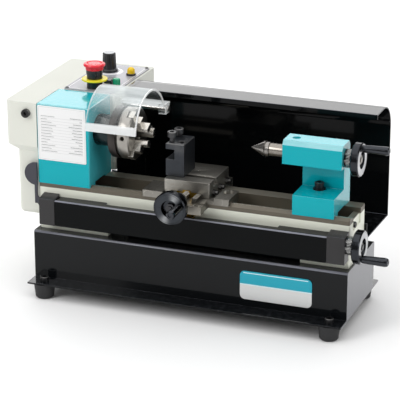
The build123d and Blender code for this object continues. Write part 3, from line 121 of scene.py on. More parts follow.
class Finish:
    # One material; its methods add nodes and surface() sets the shader's sockets.
    def __init__(self, name):
        self.material = bpy.data.materials.new(name)
        self.material.use_nodes = True
        self.tree = self.material.node_tree
        self.shader = self.tree.nodes["Principled BSDF"]
        self.place = self.node("ShaderNodeTexCoord", {"output": "Object"})
        self.x, self.y, self.z = (
            self.node("ShaderNodeSeparateXYZ", {"output": axis}, self.place) for axis in "XYZ")
        facing = self.node("ShaderNodeNewGeometry", {"output": "Normal"})
        self.right, self.rear, self.up = (
            self.node("ShaderNodeSeparateXYZ", {"output": axis}, facing) for axis in "XYZ")

    def feed(self, slot, value):
        if isinstance(value, Wire):
            self.tree.links.new(value.socket, slot)
        else:
            slot.default_value = value

    def node(self, kind, settings, *values, **named):
        # A node, then its settings, then its sockets in order, by number or by name; gives one output.
        node = self.tree.nodes.new(kind)
        output = settings.get("output", 0)
        sockets = settings.get("sockets", range(len(values)))
        for key, value in settings.items():
            if key not in ("output", "sockets"):
                setattr(node, key, value)
        for number, value in zip(sockets, values):
            self.feed(node.inputs[number], value)
        for key, value in named.items():
            self.feed(node.inputs[key.replace("_", " ")], value)
        return Wire(self, node.outputs[output])

    def noise(self, scale, detail=3.0, stretch=(1.0, 1.0, 1.0)):
        # Noise in object coordinates; a stretch below 1 draws it out along that axis.
        spread = self.node("ShaderNodeMapping", {}, self.place, Scale=stretch)
        return self.node("ShaderNodeTexNoise", {}, Vector=spread, Scale=scale, Detail=detail)

    def lines(self, position, scale, detail=2.0):
        # Fine rings or lines: noise along one measure only.
        return self.node("ShaderNodeTexNoise", {"noise_dimensions": "1D"}, W=position * scale, Detail=detail)

    def scratches(self, scale, stretch):
        # Thin random hairlines: a stretched noise kept only near its middle value.
        return 1.0 - abs(self.noise(scale, 2.0, stretch) - 0.5).eased(0.0, 0.012)

    def mix(self, factor, first, second):
        # Colours: the first where the factor is 0, the second where it is 1.
        settings = {"data_type": "RGBA", "sockets": (0, 6, 7), "output": 2}
        return self.node("ShaderNodeMix", settings, factor, first, second)

    def bump(self, height, strength, depth):
        return self.node("ShaderNodeBump", {}, Height=height, Strength=strength, Distance=depth)

    def around(self, centre, axis):
        # Distance along an axis, radius from it, and angle round it in turns.
        x, y, z = self.x - centre[0], self.y - centre[1], self.z - centre[2]
        along, first, second = {"x": (x, y, z), "y": (y, z, x), "z": (z, x, y)}[axis]
        radius = (first * first + second * second) ** 0.5
        angle = self.node("ShaderNodeMath", {"operation": "ARCTAN2"}, second, first) / (2 * math.pi) + 0.5
        return along, radius, angle

    def surface(self, **values):
        for key, value in values.items():
            self.feed(self.shader.inputs[key.replace("_", " ")], value)
        return self.material


def tone(red, green, blue):
    # A colour given as 0 to 255 screen values, turned into linear light.
    levels = (value / 255 for value in (red, green, blue))
    return tuple(v / 12.92 if v <= 0.04045 else ((v + 0.055) / 1.055) ** 2.4 for v in levels) + (1.0,)


def shaded(colour, factor):
    # The same colour, lighter or darker.
    return tuple(level * factor for level in colour[:3]) + (1.0,)


def middle(name):
    # The centre of a node's box.
    low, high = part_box(name)
    return tuple((a + b) / 2 for a, b in zip(low, high))


def sprayedPaint(name, look):
    # Sprayed enamel: orange peel, cloudy gloss and a little dust on top faces; cast adds a rough skin.
    finish = Finish(name)
    cloud = finish.noise(35.0, 5.0)
    dust = finish.up.clipped() * finish.noise(260.0, 6.0).eased(0.45, 0.75)
    shade = finish.mix(cloud * look["grime"], look["colour"], shaded(look["colour"], 0.7))
    roundedEdgeHighlight = finish.up.between(0.25, 0.92) * (0.6 + cloud)  # painted highlight on the rounded edges, varied by the cloud
    # Painted light: faces looking right, below sideTop, take a pale sheen as if lit from the right.
    ends = finish.right.clipped() * (finish.z < look["sideTop"])
    # Painted shade: faces looking up are darkened by the top setting.
    shade = finish.mix(finish.up.clipped() * look["top"], shade, shaded(look["colour"], 0.7))
    # The dust here is real; the right-end and edge terms are painted light.
    dustAndSheen = dust * 0.04 + ends * look["side"] + roundedEdgeHighlight * look["edge"]
    shade = finish.mix(dustAndSheen, shade, look["dustAndSheen"])
    skin = finish.noise(700.0, 2.0) * 0.05 + finish.noise(230.0, 4.0) * look["cast"]
    return finish.surface(
        Base_Color=shade, Roughness=look["gloss"] + cloud * 0.05 + dust * 0.05, IOR=look["bend"],
        Coat_Weight=look["coat"], Coat_IOR=look["bend"], Coat_Roughness=0.05,
        Normal=finish.bump(skin, 0.25, 0.0006))


def bedFinish(name, look):
    # Ivory paint below, ground iron above the line; ground tops painted bright as lit, slopes and the inner channel
    # brown.
    finish = Finish(name)
    edge = finish.z + (finish.noise(90.0) - 0.5) * 0.0004
    inside = finish.y.between(look["channel"][0], look["channel"][1]) * (finish.z > look["floor"])
    bare = edge.eased(look["line"] - 0.00015, look["line"] + 0.00015).most(inside * (abs(finish.x) < look["end"]))
    cloud = finish.noise(35.0, 5.0)
    grain = finish.noise(1400.0, 3.0, (0.012, 1.0, 1.0))
    stain = finish.noise(22.0, 4.0, (0.5, 1.0, 1.0)).eased(0.4, 0.75)
    # Painted light: ground faces looking up take the bright lit tone and more metal; the rest keep the brown.
    top = finish.up.eased(0.9, 0.97) * (finish.z > look["line"])
    paint = finish.mix(cloud * 0.12, look["paint"], shaded(look["paint"], 0.75))
    iron = finish.mix(top, look["brown"], look["litTopTone"])
    iron = finish.mix(grain * 0.5 + stain * 0.3, iron, shaded(look["brown"], 0.6))
    return finish.surface(
        Base_Color=finish.mix(bare, paint, iron), Metallic=bare * (top * 0.6 + 0.25),
        Roughness=0.32 + bare * (grain * 0.14 + stain * 0.08 - 0.02),
        Normal=finish.bump(grain * bare + (1.0 - bare) * finish.noise(700.0, 2.0) * 0.3, 0.12, 0.0003))


def turnedMetal(name, colour, gloss, centre, axis, feed=5200.0, wear=0.3):
    # Turned steel: tool rings that follow the radius and the length, and light smudges.
    finish = Finish(name)
    along, radius, _ = finish.around(centre, axis)
    rings = finish.lines(along + radius, feed)
    smudge = finish.noise(70.0, 5.0).eased(0.35, 0.8)
    shade = finish.mix(rings * 0.3 + smudge * wear, colour, shaded(colour, 0.55))
    return finish.surface(
        Base_Color=shade, Metallic=1.0, Roughness=gloss + rings * 0.1 + smudge * 0.1,
        Normal=finish.bump(rings, 0.10, 0.0001))


def milledMetal(name, colour, gloss, run="x", wear=0.35):
    # Milled or ground steel: fine lines along one direction, oil stains, scratches and a painted highlight on
    # upward-slanting edges.
    finish = Finish(name)
    stretch = {"x": (0.02, 1.0, 1.0), "y": (1.0, 0.02, 1.0), "z": (1.0, 1.0, 0.02)}[run]
    grain = finish.noise(1100.0, 3.0, stretch)
    stain = finish.noise(45.0, 5.0).eased(0.4, 0.8)
    scratchesAndEdgeHighlight = finish.scratches(120.0, (1.0, 0.25, 1.0)).most(finish.up.between(0.2, 0.92) * 1.5)
    shade = finish.mix(grain * 0.35 + stain * wear, colour, shaded(colour, 0.5))
    return finish.surface(
        Base_Color=finish.mix(scratchesAndEdgeHighlight * 0.25, shade, tone(225, 220, 210)), Metallic=1.0,
        Roughness=gloss + grain * 0.12 + stain * 0.1, Normal=finish.bump(grain + scratchesAndEdgeHighlight * 0.3, 0.12, 0.0002))


def blackedSteel(name, colour, gloss, metal=0.6):
    # Chemically blacked steel: dark and slightly mottled, rubbed brighter in patches, with a painted highlight on
    # upward-slanting edges.
    finish = Finish(name)
    mottle = finish.noise(180.0, 5.0)
    rubbedAndEdgeHighlight = finish.noise(60.0, 4.0).eased(0.55, 0.8).most(finish.up.between(0.2, 0.92) * 1.8)
    shade = finish.mix(mottle * 0.5, colour, shaded(colour, 0.55))
    return finish.surface(
        Base_Color=finish.mix(rubbedAndEdgeHighlight * 0.18, shade, tone(150, 148, 145)), Metallic=metal,
        Roughness=gloss + mottle * 0.12, Normal=finish.bump(finish.noise(1500.0, 2.0), 0.08, 0.0002))


def mouldedPlastic(name, colour, gloss, dull=0.8):
    # Moulded plastic: faint flow clouds and a fine sparked texture.
    finish = Finish(name)
    flow = finish.noise(80.0, 3.0)
    return finish.surface(
        Base_Color=finish.mix(flow * 0.25, colour, shaded(colour, dull)), Roughness=gloss + flow * 0.08,
        Normal=finish.bump(finish.noise(1800.0, 2.0), 0.06, 0.0002))


def rubberFinish(name):
    # Matt rubber with pale dust in its grain.
    finish = Finish(name)
    dust = finish.noise(140.0, 5.0)
    return finish.surface(
        Base_Color=finish.mix(dust * 0.35, tone(20, 20, 22), tone(66, 66, 68)), Roughness=0.5 + dust * 0.25,
        Normal=finish.bump(finish.noise(1600.0, 3.0), 0.2, 0.0003))


def wheelFinish(name, look, centre, axis):
    # Turned handwheel: dark chrome rim, fine lathe rings, and a face ring between two radii in a painted lit or
    # shaded tone.
    finish = Finish(name)
    along, radius, angle = finish.around(centre, axis)
    outward = {"x": finish.right, "y": finish.rear}[axis] * look["side"]
    face = (outward > 0.75) * radius.eased(look["inner"], look["inner"] + 0.0002)
    rings = finish.lines(along + radius, 3000.0)
    groove = abs(radius - look["groove"]) < 0.00025
    smudge = finish.noise(70.0, 5.0).eased(0.35, 0.8)
    # Painted highlight: a bow-tie of light across the face ring, as on a turned face.
    bowTieHighlight = (((angle + look["lean"]) * (4 * math.pi)).wave() * 0.5 + 0.5) ** 10.0 * face
    # The hub nut takes a quarter of the face ring's painted tone.
    hub = (radius < look["nut"]) * 0.25
    shade = finish.mix(face.most(hub), look["rim"], look["face"])
    shade = finish.mix(bowTieHighlight * look["bowTieHighlight"], shade, tone(232, 234, 236))
    # Painted shade in the groove ring; the lathe rings and smudges are real.
    shade = finish.mix(rings * 0.25 + smudge * 0.25 + groove * face * 0.5, shade, shaded(look["rim"], 0.4))
    return finish.surface(
        Base_Color=shade, Metallic=1.0, Roughness=0.12 + rings * 0.08 + smudge * 0.1 + face * 0.08,
        Normal=finish.bump(rings - groove * face, 0.12, 0.0001))


def dialFinish(name, look, centre, axis):
    # Graduated collar: blackened, with bright lengthwise marks and every fifth mark longer.
    finish = Finish(name)
    along, radius, angle = finish.around(centre, axis)
    turn = angle * look["marks"]
    stroke = abs(turn.fraction() - 0.5) < look["stroke"]
    fifth = abs((angle * (look["marks"] / 5) + 0.5).fraction() - 0.5) < look["fifth"]
    reach = abs(along) < look["half"] * (0.5 + fifth * 0.4)
    mark = stroke * reach * (radius > look["radius"] - 0.0008)
    smudge = finish.noise(90.0, 4.0).eased(0.35, 0.8)
    collar = finish.mix(smudge * 0.3, tone(48, 48, 50), tone(80, 80, 80))
    return finish.surface(
        Base_Color=finish.mix(mark, collar, tone(215, 215, 212)), Metallic=0.85 - mark * 0.5,
        Roughness=0.2 + smudge * 0.12, Normal=finish.bump(mark, -0.5, 0.0002))


def knobFinish(name, look, centre):
    # Fluted black knob: crests painted paler as a highlight against painted shade in the grooves, and a satin silver
    # cap on top.
    finish = Finish(name)
    along, radius, _ = finish.around(centre, "z")
    crest = radius.eased(look["crest"] - 0.0006, look["crest"]) * (finish.up < 0.5)
    cap = (finish.up > 0.5) * (radius < look["cap"]) * (along > 0.0)
    brush = finish.lines(radius, 4000.0)
    silver = finish.mix(brush * 0.3, tone(128, 130, 134), tone(96, 98, 102))
    shade = finish.mix(cap, tone(20, 20, 22), silver)
    # Painted highlight on the crests of the flutes.
    shade = finish.mix(crest * 0.12, shade, tone(84, 84, 88))
    return finish.surface(
        Base_Color=shade, Metallic=cap * 0.8, Roughness=0.13 + brush * 0.1,
        Normal=finish.bump(finish.noise(1500.0), 0.05, 0.0002))


def clearSheet(name, look):
    # Bent clear plastic: nearly see-through face on; painted white reflection where seen edge on, on upward faces,
    # along its cut edges and front strip.
    finish = Finish(name)
    low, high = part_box("chuck_guard")
    slant = finish.node("ShaderNodeLayerWeight", {"output": "Facing"}, 0.5)
    wipe = finish.noise(30.0, 5.0, (0.3, 1.0, 1.0)).eased(0.4, 0.8)
    rightCut = finish.x.eased(high[0] - 0.0012, high[0] - 0.0008)
    leftCut = 1.0 - finish.x.eased(low[0] + 0.0004, low[0] + 0.0010)
    strip = (1.0 - finish.z.eased(low[2] + look["strip"], low[2] + look["strip"] + 0.0008)) * (finish.y < 0.0)
    ledge = (finish.y > look["ledge"]) * (finish.up > 0.8) * 0.5
    # Painted highlight: the cut edges, the front strip and the back ledge are made white and more opaque.
    cut = rightCut.most(leftCut * 0.6).most(strip * 0.85).most(ledge)
    # Painted reflection where the sheet is seen edge on; the wiped smudges are real.
    cover = look["clear"] + slant ** 4.0 * look["rim"] + wipe * look["wipe"] + cut * look["cut"]
    # Painted reflection: faces looking up are whiter.
    cover = cover + finish.up.eased(0.45, 0.95) * look["crown"]
    return finish.surface(
        Base_Color=finish.mix(cut, tone(226, 234, 235), tone(252, 253, 253)), Alpha=cover.clipped(),
        Roughness=0.05 + wipe * 0.08)


def threaded(name, colour, centre, axis, pitch, limits):
    # Screw thread drawn as a helix: the height is a triangle wave of length over pitch less the angle.
    finish = Finish(name)
    along, _, angle = finish.around(centre, axis)
    place = (along / pitch - angle).fraction()
    flank = abs(place - 0.5) * 2.0
    cut = along.between(*limits)
    oil = finish.noise(60.0, 4.0).eased(0.4, 0.8)
    # Painted shade: the thread valleys are darker; the oil stains are real.
    shade = finish.mix(flank * cut * 0.75 + oil * 0.25, colour, shaded(colour, 0.3))
    shade = finish.mix(cut, tone(64, 64, 66), shade)
    return finish.surface(
        Base_Color=shade, Metallic=1.0, Roughness=0.24 + oil * 0.15,
        Normal=finish.bump((1.0 - flank) * cut, 0.9, pitch * 0.45))


# gloss is the roughness and bend the index of both gloss layers; grime and cast say how strong the clouds and
# the cast skin are; side, edge and top say how strong the painted light on right ends, the painted highlights on
# edges and the painted shade on tops are. Below sideTop (in m) the right ends take it, in the pale dust and sheen
# colour.
dustAndSheenGrey = tone(176, 178, 190)
paints = {
    "glossBlackPaint": {"colour": tone(15, 17, 19), "gloss": 0.10, "coat": 1.0, "bend": 1.2, "grime": 0.12,
                        "cast": 0.0, "side": 0.28, "dustAndSheen": dustAndSheenGrey, "edge": 0.35, "sideTop": 0.064, "top": 0.0},
    "guardBlackPaint": {"colour": tone(9, 11, 12), "gloss": 0.08, "coat": 1.0, "bend": 1.15, "grime": 0.12,
                        "cast": 0.0, "side": 0.0, "dustAndSheen": dustAndSheenGrey, "edge": 0.35, "sideTop": 0.0, "top": 0.0},
    "coverBlackPaint": {"colour": tone(7, 9, 10), "gloss": 0.12, "coat": 1.0, "bend": 1.13, "grime": 0.12,
                        "cast": 0.0, "side": 0.0, "dustAndSheen": dustAndSheenGrey, "edge": 0.5, "sideTop": 0.0, "top": 0.0},
    "tealEnamel": {"colour": tone(0, 172, 184), "gloss": 0.16, "coat": 1.0, "bend": 1.2, "grime": 0.10,
                   "cast": 0.0, "side": 0.10, "dustAndSheen": tone(200, 238, 240), "edge": 0.45, "sideTop": 0.2, "top": 0.1},
    "ivoryPaint": {"colour": tone(226, 227, 218), "gloss": 0.36, "coat": 0.0, "bend": 1.15, "grime": 0.08,
                   "cast": 0.0, "side": 0.0, "dustAndSheen": tone(240, 240, 236), "edge": 0.3, "sideTop": 0.0, "top": 0.55},
    "bracketPaint": {"colour": tone(50, 49, 50), "gloss": 0.30, "coat": 0.3, "bend": 1.3, "grime": 0.2,
                     "cast": 0.35, "side": 0.0, "dustAndSheen": dustAndSheenGrey, "edge": 0.1, "sideTop": 0.0, "top": 0.0},
    "leverPaint": {"colour": tone(68, 68, 76), "gloss": 0.32, "coat": 0.2, "bend": 1.3, "grime": 0.1,
                   "cast": 0.1, "side": 0.0, "dustAndSheen": dustAndSheenGrey, "edge": 0.1, "sideTop": 0.0, "top": 0.0},
}
blackPaint, guardPaint, coverPaint, tealPaint, ivoryPaint, bracketPaint, leverPaint = (
    sprayedPaint(name, look) for name, look in paints.items())
bedLook = {"line": 0.1061, "paint": tone(234, 236, 222), "litTopTone": tone(222, 216, 200), "brown": tone(108, 101, 88),
           "channel": (-0.0222, 0.0022), "floor": 0.0966, "end": 0.1535}
bedPaint = bedFinish("bedIvoryAndIron", bedLook)
spindleMiddle = middle("spindle")
print("stage: paints and metals")


def labelFinish(name, look):
    # A white sheet with a thin printed frame and plain grey rules of mixed length.
    finish = Finish(name)
    low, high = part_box("data_label")
    fromLeft, fromTop = finish.x - low[0], high[2] - finish.z
    width, height = high[0] - low[0], high[2] - low[2]
    inset = fromLeft.least(width - fromLeft).least(fromTop.least(height - fromTop))
    row = (fromTop / look["spacing"]).whole()
    along = fromLeft / width
    inkRow = (fromTop / look["spacing"]).fraction().between(0.35, 0.62)
    chance = finish.node("ShaderNodeTexWhiteNoise", {"noise_dimensions": "1D"}, W=row)
    leftInk = along.between(0.07, 0.2) + along.between(0.2, 0.42) * (along < 0.16 + chance * 0.25)
    rightInk = (along > 0.88 - chance * 0.25) * (along < 0.93)
    field = row.between(*look["rows"])
    rule = (fromTop / look["spacing"]).fraction().between(0.9, 0.97) * along.between(0.06, 0.94) * field
    dash = (finish.x * look["dashes"]).fraction() > 0.35
    ink = inkRow * (leftInk.least(1.0) * 0.75 + rightInk * 0.9) * field * dash + rule * 0.4
    border = inset.between(0.0010, 0.0014) * 0.25
    shade = finish.mix((ink + border).clipped(), tone(240, 240, 240), tone(66, 66, 72))
    return finish.surface(
        Base_Color=shade, Roughness=0.32 + finish.noise(50.0) * 0.1,
        Normal=finish.bump(finish.noise(400.0), 0.05, 0.0002))


def plateFinish(name, look):
    # Two bands of colour with a pale line near the top and one between them; no lettering.
    finish = Finish(name)
    low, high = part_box("nameplate")
    height, width = high[2] - low[2], high[0] - low[0]
    rise = (finish.z - low[2]) / height
    across = (finish.x - low[0]) / width
    upper = rise.eased(look["split"] - 0.01, look["split"] + 0.01)
    line = rise.between(*look["line"]) * across.between(*look["ends"])
    line = line + rise.between(look["split"] - 0.02, look["split"] + 0.012)
    brush = finish.noise(900.0, 3.0, (0.03, 1.0, 1.0))
    silver = finish.mix(brush * 0.3, tone(222, 223, 222), tone(196, 198, 198))
    shade = finish.mix(line.clipped(), finish.mix(upper, silver, tone(0, 165, 188)), tone(215, 240, 243))
    return finish.surface(
        Base_Color=shade, Metallic=(1.0 - upper) * 0.25, Roughness=0.26 + brush * 0.12,
        Normal=finish.bump(brush * (1.0 - upper), 0.05, 0.0001))


def panelFinish(name, look):
    # Brushed grey panel with a painted shade line and a painted highlight line along its raised border, and a
    # swelling crescent round the speed knob.
    finish = Finish(name)
    low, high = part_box("control_panel")
    inset = (finish.x - low[0]).least(high[0] - finish.x).least((finish.y - low[1]).least(high[1] - finish.y))
    top = finish.z > high[2] - 0.0002
    # Painted shade and painted highlight: a dark line and a pale line along the raised border.
    borderShadeLine = inset.between(*look["dark"]) * top
    borderHighlightLine = inset.between(*look["pale"]) * top
    _, radius, angle = finish.around(middle("speed_knob"), "z")
    swell = ((angle - look["turn"]) * 2 * math.pi).wave() * 0.5 + 0.5
    ring = (radius > look["ring"][0]) * (radius < look["ring"][1] + swell * look["swell"]) * top
    brush = finish.noise(900.0, 3.0, (0.03, 1.0, 1.0))
    shade = finish.mix(brush * 0.4, tone(172, 172, 178), tone(146, 146, 152))
    shade = finish.mix(borderShadeLine, shade, tone(52, 52, 54))
    shade = finish.mix((borderHighlightLine + ring).clipped(), shade, tone(245, 244, 246))
    return finish.surface(
        Base_Color=shade, Metallic=0.15, Roughness=0.34 + brush * 0.12, Normal=finish.bump(brush, 0.05, 0.0001))


labelPaper = labelFinish("labelPaper", {"spacing": 0.0029, "rows": (2.5, 15.5), "dashes": 1500.0})
platePrint = plateFinish("platePrint", {"split": 0.54, "line": (0.925, 0.955), "ends": (0.05, 0.95)})
# dark and pale give the bands, in from the edge, of the painted shade line and the painted highlight line.
panelLook = {"dark": (0.0016, 0.0023), "pale": (0.0024, 0.0031), "ring": (0.0104, 0.0106), "turn": 0.125,
             "swell": 0.0045}
panelPrint = panelFinish("panelPrint", panelLook)
print("stage: printed finishes")

clearLook = {"clear": 0.02, "rim": 0.5, "wipe": 0.05, "cut": 0.75, "strip": 0.0082, "ledge": 0.024, "crown": 0.26}
finishOf = {
    "base_stand": blackPaint, "splash_guard": guardPaint, "leadscrew_cover": coverPaint,
    "headstock": tealPaint, "tailstock_body": tealPaint, "belt_cover": ivoryPaint, "control_box": ivoryPaint,
    "leadscrew_brackets": bracketPaint, "motor": bracketPaint, "feed_lever": leverPaint, "bed": bedPaint,
    "data_label": labelPaper, "nameplate": platePrint, "control_panel": panelPrint,
    "rubber_feet": rubberFinish("rubberBlack"), "chuck_guard": clearSheet("clearGuard", clearLook),
    "estop_base": mouldedPlastic("blackPlastic", tone(20, 20, 22), 0.22),
    "estop_collar": mouldedPlastic("yellowPlastic", tone(247, 232, 40), 0.3),
    "green_button": mouldedPlastic("greenPlastic", tone(8, 150, 105), 0.22),
    "power_lamp": mouldedPlastic("amberLens", tone(240, 200, 30), 0.12),
    "emergency_button": mouldedPlastic("redPlastic", tone(235, 40, 52), 0.24),
    "speed_knob": knobFinish("knobPlastic", {"crest": 0.0066, "cap": 0.0056}, middle("speed_knob")),
    "stand_bolts": blackedSteel("boltBlack", tone(40, 40, 42), 0.28),
    "cover_screws": blackedSteel("screwBlack", tone(26, 26, 28), 0.3, 0.3),
    "tool_post": blackedSteel("toolPostBlack", tone(58, 61, 66), 0.30, 0.75),
    "tool_post_screws": blackedSteel("clampBlack", tone(70, 70, 72), 0.26, 0.8),
    "tool_post_bolt": blackedSteel("teeBoltBlack", tone(62, 62, 64), 0.28, 0.8),
    "tailstock_lock_screw": blackedSteel("lockScrewBlack", tone(44, 44, 46), 0.28),
    "gib_screws": blackedSteel("gibScrewBlack", tone(40, 40, 42), 0.3),
    "saddle": milledMetal("saddleIron", tone(150, 147, 140), 0.34, "y"),
    "cross_screw_bearing": milledMetal("bearingBlockIron", tone(144, 140, 132), 0.34, "z"),
    "cross_slide": milledMetal("slideIron", tone(166, 163, 156), 0.32, "x"),
    "cross_slide_nut": milledMetal("slideNutBrass", tone(205, 165, 62), 0.24, "y"),
    "leadscrew_nut": milledMetal("leadNutBrass", tone(205, 165, 62), 0.24, "x"),
    "drive_belt": rubberFinish("beltRubber"),
    "guard_hinge_rod": turnedMetal("hingeRodSteel", tone(200, 198, 194), 0.18, middle("guard_hinge_rod"), "x"),
    "spindle": blackedSteel("spindleDark", tone(40, 50, 52), 0.22, 0.8),
    "chuck_backplate": turnedMetal("backplateSteel", tone(72, 68, 66), 0.34, spindleMiddle, "x"),
    "chuck_body": turnedMetal("chuckSteel", tone(168, 164, 158), 0.24, spindleMiddle, "x"),
    "spindle_bearings": turnedMetal("bearingSteel", tone(180, 180, 180), 0.2, spindleMiddle, "x"),
    "spindle_pulley": turnedMetal("pulleyAluminium", tone(190, 190, 190), 0.3, spindleMiddle, "x"),
    "motor_pulley": turnedMetal("motorPulleyAluminium", tone(190, 190, 190), 0.3, middle("motor_pulley"), "x"),
    "quill": turnedMetal("quillSteel", tone(152, 146, 138), 0.20, spindleMiddle, "x"),
    "dead_centre": turnedMetal("centreSteel", tone(150, 146, 142), 0.18, spindleMiddle, "x"),
    "tailstock_screw": turnedMetal("tailScrewSteel", tone(176, 172, 166), 0.22, spindleMiddle, "x"),
    "leadscrew": threaded("leadscrewSteel", tone(186, 182, 176), middle("leadscrew"), "x", 0.0015, (-0.13, 0.11)),
    "cross_slide_screw": threaded(
        "crossScrewSteel", tone(186, 182, 176), middle("cross_slide_screw"), "y", 0.001, (-0.03, 0.06)),
}
for number in (1, 2, 3):
    finishOf[f"chuck_jaw_{number}"] = milledMetal(f"jawSteel{number}", tone(205, 202, 196), 0.2, "x", 0.25)
finishOf["switch_body"] = finishOf["estop_base"]
wheelAxes = {"leadscrew": "x", "tailstock": "x", "cross_slide": "y"}
for wheel, axis in wheelAxes.items():
    front = wheel == "cross_slide"
    # The face tones are painted light: bright on the wheels facing right, dark on the wheel facing front; the
    # highlight strength sets a painted bow-tie highlight.
    wheelLook = {"side": -1.0 if front else 1.0, "inner": 0.0085, "groove": 0.0140, "rim": tone(58, 60, 64),
                 "nut": 0.0052, "lean": 0.06, "bowTieHighlight": 0.35 if front else 0.5,
                 "face": tone(62, 65, 69) if front else tone(196, 197, 200)}
    dialLook = {"marks": 40, "half": 0.0035, "radius": 0.0088, "stroke": 0.16, "fifth": 0.11}
    finishOf[f"{wheel}_handwheel"] = wheelFinish(f"{wheel}Wheel", wheelLook, middle(f"{wheel}_handwheel"), axis)
    finishOf[f"{wheel}_dial"] = dialFinish(f"{wheel}Dial", dialLook, middle(f"{wheel}_dial"), axis)
    finishOf[f"{wheel}_handle"] = turnedMetal(
        f"{wheel}Handle", tone(66, 68, 72), 0.10, middle(f"{wheel}_handle"), axis, 2000.0, 0.15)
for name, piece in nodes.items():
    for slot in piece.material_slots:
        slot.material = finishOf[name]
print("stage: finishes on the frame")

# Rounded edges, in mm; the finer pieces get less.
edgeWidths = {
    "headstock": 0.9, "tailstock_body": 0.9, "belt_cover": 0.8, "control_box": 0.6, "bed": 0.5, "base_stand": 0.5,
    "leadscrew_brackets": 0.7, "leadscrew_cover": 0.4, "splash_guard": 0.3, "saddle": 0.4, "cross_slide": 0.4,
    "cross_screw_bearing": 0.4, "tool_post": 0.4, "chuck_body": 0.3, "chuck_backplate": 0.3, "chuck_jaw_1": 0.25,
    "chuck_jaw_2": 0.25, "chuck_jaw_3": 0.25, "chuck_guard": 0.4, "nameplate": 0.25, "control_panel": 0.2,
    "feed_lever": 0.5, "switch_body": 0.4, "estop_collar": 0.3, "spindle": 0.3, "quill": 0.2,
}
edgeRules = {"merge": 1e-6, "flat": 0.004, "sharp": 0.6, "segments": 2}
for name, width in edgeWidths.items():
    piece = nodes[name]
    weld = piece.modifiers.new("weld", "WELD")
    weld.merge_threshold = edgeRules["merge"]
    flat = piece.modifiers.new("flat", "DECIMATE")
    flat.decimate_type = "DISSOLVE"
    flat.angle_limit = edgeRules["flat"]
    bevel = piece.modifiers.new("edges", "BEVEL")
    bevel.width = width * mm
    bevel.segments = edgeRules["segments"]
    bevel.limit_method = "ANGLE"
    bevel.angle_limit = edgeRules["sharp"]
    bevel.harden_normals = True
    bevel.use_clamp_overlap = True
print("stage: edges")


def newPiece(name, mesh, body, finish):
    # Adds a piece at the origin that rides on a body of the frame.
    mesh.materials.append(finish)
    piece = bpy.data.objects.new(name, mesh)
    bpy.context.scene.collection.objects.link(piece)
    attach(piece, body)
    return piece


def gridMesh(name, points, smooth=True):
    # A sheet from points worked out on a grid of two parameters: rows by columns by three.
    rows, columns = points.shape[:2]
    index = np.arange(rows * columns).reshape(rows, columns)
    corners = (index[:-1, :-1], index[1:, :-1], index[1:, 1:], index[:-1, 1:])
    faces = np.stack([corner.ravel() for corner in corners], axis=1)
    mesh = bpy.data.meshes.new(name)
    mesh.from_pydata(points.reshape(-1, 3).tolist(), [], faces.tolist())
    mesh.polygons.foreach_set("use_smooth", [smooth] * len(mesh.polygons))
    return mesh


def mushroomMesh(name, look):
    # A turned button: a radius-height profile carried round the axis by angle; between two heights the
    # radius dips by depth times the square of the positive part of cos(count times angle), the finger scallops.
    profile = np.array(look["profile"]) * mm
    steps = np.diff(profile, axis=0)
    travel = np.concatenate([[0.0], np.cumsum(np.hypot(steps[:, 0], steps[:, 1]))])
    fine = np.unique(np.concatenate([travel, np.linspace(0.0, travel[-1], look["rows"])]))
    radius, height = np.interp(fine, travel, profile[:, 0]), np.interp(fine, travel, profile[:, 1])
    angle = np.linspace(0.0, 2 * math.pi, look["columns"], endpoint=False)
    outer = (fine < travel[look["skirt"]]) * (height > look["low"]) * (height < look["high"])
    dip = look["depth"] * np.maximum(np.cos(look["count"] * angle), 0.0) ** 2
    around = radius[:, None] - outer[:, None] * dip[None, :]
    x = look["centre"][0] + around * np.cos(angle)
    y = look["centre"][1] + around * np.sin(angle)
    z = np.repeat(height[:, None], len(angle), axis=1)
    points = np.stack([x, y, z], axis=2)
    mesh = gridMesh(name, np.concatenate([points, points[:, :1]], axis=1))
    shape = bmesh.new()
    shape.from_mesh(mesh)
    bmesh.ops.remove_doubles(shape, verts=shape.verts, dist=look["merge"])
    bmesh.ops.recalc_face_normals(shape, faces=shape.faces[:])
    shape.to_mesh(mesh)
    shape.free()
    mesh.set_sharp_from_angle(angle=look["sharp"])
    return mesh


def mushroomFinish(name, look):
    # Red moulded head over a black sleeve; the two meet at one height.
    finish = Finish(name)
    flow = finish.noise(80.0, 3.0)
    red = finish.z.eased(look["meet"] - 0.0001, look["meet"] + 0.0001)
    shade = finish.mix(red, tone(20, 20, 22), finish.mix(flow * 0.2, tone(238, 44, 60), tone(200, 30, 44)))
    return finish.surface(
        Base_Color=shade, Roughness=0.24 + flow * 0.08, Normal=finish.bump(finish.noise(1800.0), 0.06, 0.0002))


